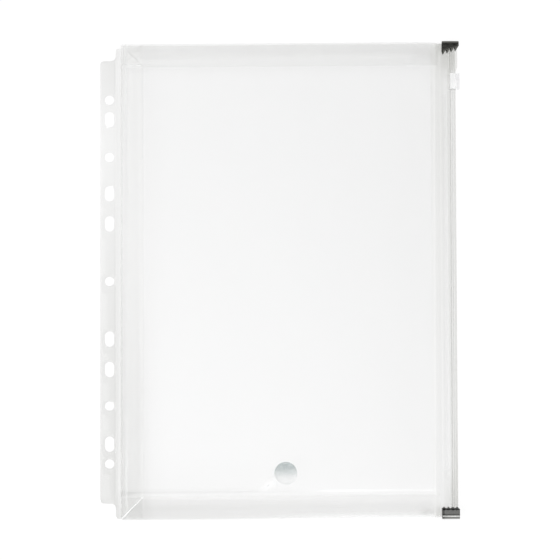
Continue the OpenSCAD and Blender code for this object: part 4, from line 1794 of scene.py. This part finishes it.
@dataclass
class Studio:
    """White table, lamps, camera, and a soft sky that is bright to the lower left and dim overhead."""

    table_size: float = 14.0
    table_gap: float = 0.0002
    table_white: float = 0.9
    table_matt: Sequence[float] = (0.95, 0.95, 0.95, 1.0)
    bright_way: Sequence[float] = (-0.78, -0.62, 0.0)
    ceiling_lean: Sequence[float] = (-0.17, 0.11)
    ceiling_level: Sequence[float] = (0.03, 0.95)
    horizon: float = 0.8
    horizon_z: Sequence[float] = (0.8, 0.4)
    window_lean: Sequence[float] = (0.15, 0.21, 0.29, 0.37)
    window_level: float = 2.0
    bounces: int = 64
    lens: float = 110.0
    clip: Sequence[float] = (0.05, 50.0)
    aim: Sequence[float] = (-0.00016, 0.0005, 0.0035)
    tilt_deg: Sequence[float] = (1.763, 0.0, -0.2)
    distance: float = 1.1254
    lamps: Sequence[tuple[str, tuple[float, float, float], float, float, bool]] = (
        ("key_softbox", (-0.75, -0.6, 0.8), 0.5, 9.0, True),
        ("fill_softbox", (0.6, 0.2, 1.1), 0.7, 11.0, False),
    )

    def table(self) -> None:
        """The pale table top under the wallet: mostly plain white to seen rays, so its shadow is faint."""
        half = self.table_size / 2
        mesh = bpy.data.meshes.new("table_top")
        ring = [(-half, -half), (half, -half), (half, half), (-half, half)]
        mesh.from_pydata([(x, y, -self.table_gap) for x, y in ring], [], [(0, 1, 2, 3)])
        material, graph = new_graph("table_white")
        path = graph.add("LightPath").outputs
        seen = graph.maths("MAXIMUM", path["Is Camera Ray"],
                           graph.maths("MAXIMUM", path["Is Glossy Ray"], path["Is Transmission Ray"]))
        share = graph.maths("MULTIPLY", seen, self.table_white)
        matt = graph.add("BsdfDiffuse", {"Color": self.table_matt})
        white = graph.add("Emission", {"Strength": 1.0})
        graph.end(graph.add("MixShader", {0: share, 1: matt.outputs[0], 2: white.outputs[0]}).outputs[0])
        mesh.materials.append(material)
        table = bpy.data.objects.new("table_top", mesh)
        bpy.context.scene.collection.objects.link(table)

    def sky(self) -> None:
        """The world: white to the camera, and a soft sky with a dim ceiling to everything else."""
        world = bpy.data.worlds.new("studio_sky")
        bpy.context.scene.world = world
        world.use_nodes = True
        graph = Graph(world.node_tree)
        way = graph.add("TexCoord").outputs["Generated"]
        lean = graph.add("VectorMath", {0: way, 1: self.bright_way}, operation="DOT_PRODUCT").outputs["Value"]
        ceiling = graph.step(lean, self.ceiling_lean, self.ceiling_level)
        rise, fall = graph.step(lean, self.window_lean[:2]), graph.step(lean, self.window_lean[:1:-1])
        path = graph.add("LightPath").outputs
        window = graph.maths("MULTIPLY", graph.maths("MULTIPLY", rise, fall), self.window_level)
        ceiling = graph.maths("MULTIPLY_ADD", window, path["Is Glossy Ray"], ceiling)
        up = graph.add("SeparateXYZ", {0: way}).outputs["Z"]
        low = graph.step(up, self.horizon_z)
        level = graph.add("Mix", {0: low, 2: ceiling, 3: self.horizon}, data_type="FLOAT").outputs[0]
        seen = graph.add("Mix", {0: path["Is Camera Ray"], 2: level, 3: 1.0}, data_type="FLOAT").outputs[0]
        back = graph.add("Background", {"Strength": seen})
        graph.add("OutputWorld", {"Surface": back.outputs[0]})

    def softboxes(self) -> None:
        """A soft key light from the lower left and a wider fill from the upper right."""
        for name, place, size, power, mirrored in self.lamps:
            data = bpy.data.lights.new(name, "AREA")
            data.size = size
            data.energy = power
            lamp = bpy.data.objects.new(name, data)
            lamp.location = place
            lamp.visible_glossy = mirrored
            lamp.rotation_euler = (-Vector(place)).to_track_quat("-Z", "Y").to_euler()
            bpy.context.scene.collection.objects.link(lamp)

    def camera(self) -> None:
        """The long lens straight over the wallet."""
        data = bpy.data.cameras.new("overhead")
        data.lens = self.lens
        data.clip_start, data.clip_end = self.clip
        camera = bpy.data.objects.new("overhead", data)
        turn = Euler([math.radians(a) for a in self.tilt_deg])
        camera.rotation_euler = turn
        camera.location = Vector(self.aim) + turn.to_matrix() @ Vector((0.0, 0.0, self.distance))
        bpy.context.scene.collection.objects.link(camera)
        bpy.context.scene.camera = camera

    def build(self) -> None:
        """Sets the whole stage and the plain view settings."""
        self.camera()
        self.table()
        self.sky()
        self.softboxes()
        scene = bpy.context.scene
        scene.view_settings.view_transform = "Standard"
        scene.cycles.transparent_max_bounces = self.bounces


def main() -> None:
    """Builds the stage and every piece of the wallet, in order."""
    logging.basicConfig(level=logging.INFO, format="%(message)s")
    Studio().build()
    plan = Plan.read()
    mouth = MouthBlend()
    pocket = FilmPocket(plan)
    film, fold = PANEL_FILM.material(), GUSSET_FILM.material()
    zip_clear = ZIP_PLASTIC.material()
    pocket.back(film)
    tracks = ZipTracks(plan, pocket)
    tracks.back(zip_clear)
    for half in (Half.UPPER, Half.LOWER):
        pocket.front(half, film, mouth)
        tracks.front(half, zip_clear, mouth)
    Gusset(plan, pocket, Side.SPINE, dark=SPINE_DARK).build(fold)
    Gusset(plan, pocket, Side.TOP).build(fold)
    Gusset(plan, pocket, Side.BOTTOM, dark=BOTTOM_DARK, tuck_shade=0.2).build(fold)
    BindingStrip(plan).build(STRIP_FILM.material())
    Runner(plan).build(RUNNER_PLASTIC.material())
    # The upper clip's steel is painted darker, for the darker reflection it shows; the lower clip carries
    # painted shade and a painted highlight on its bend.
    dark_steel = Steel("steel_upper", colour=(0.19, 0.19, 0.175), worn=(0.12, 0.12, 0.11))
    EndClip("top_end_clip", "dark_steel", slant=0.003, trim=0.0005).build("upper_clip", dark_steel.material())
    EndClip("bottom_end_clip", "grey_steel", tooth_l=0.0012, tip_at=0.5, set_back=0.0005, root_shade=0.75,
            side_shade=0.8, bend_highlight=0.8).build("lower_clip", Steel("steel_lower").material())
    PlainDisc(pocket).build(DISC_FILM.material(), mouth)


if __name__ == "__main__":
    main()
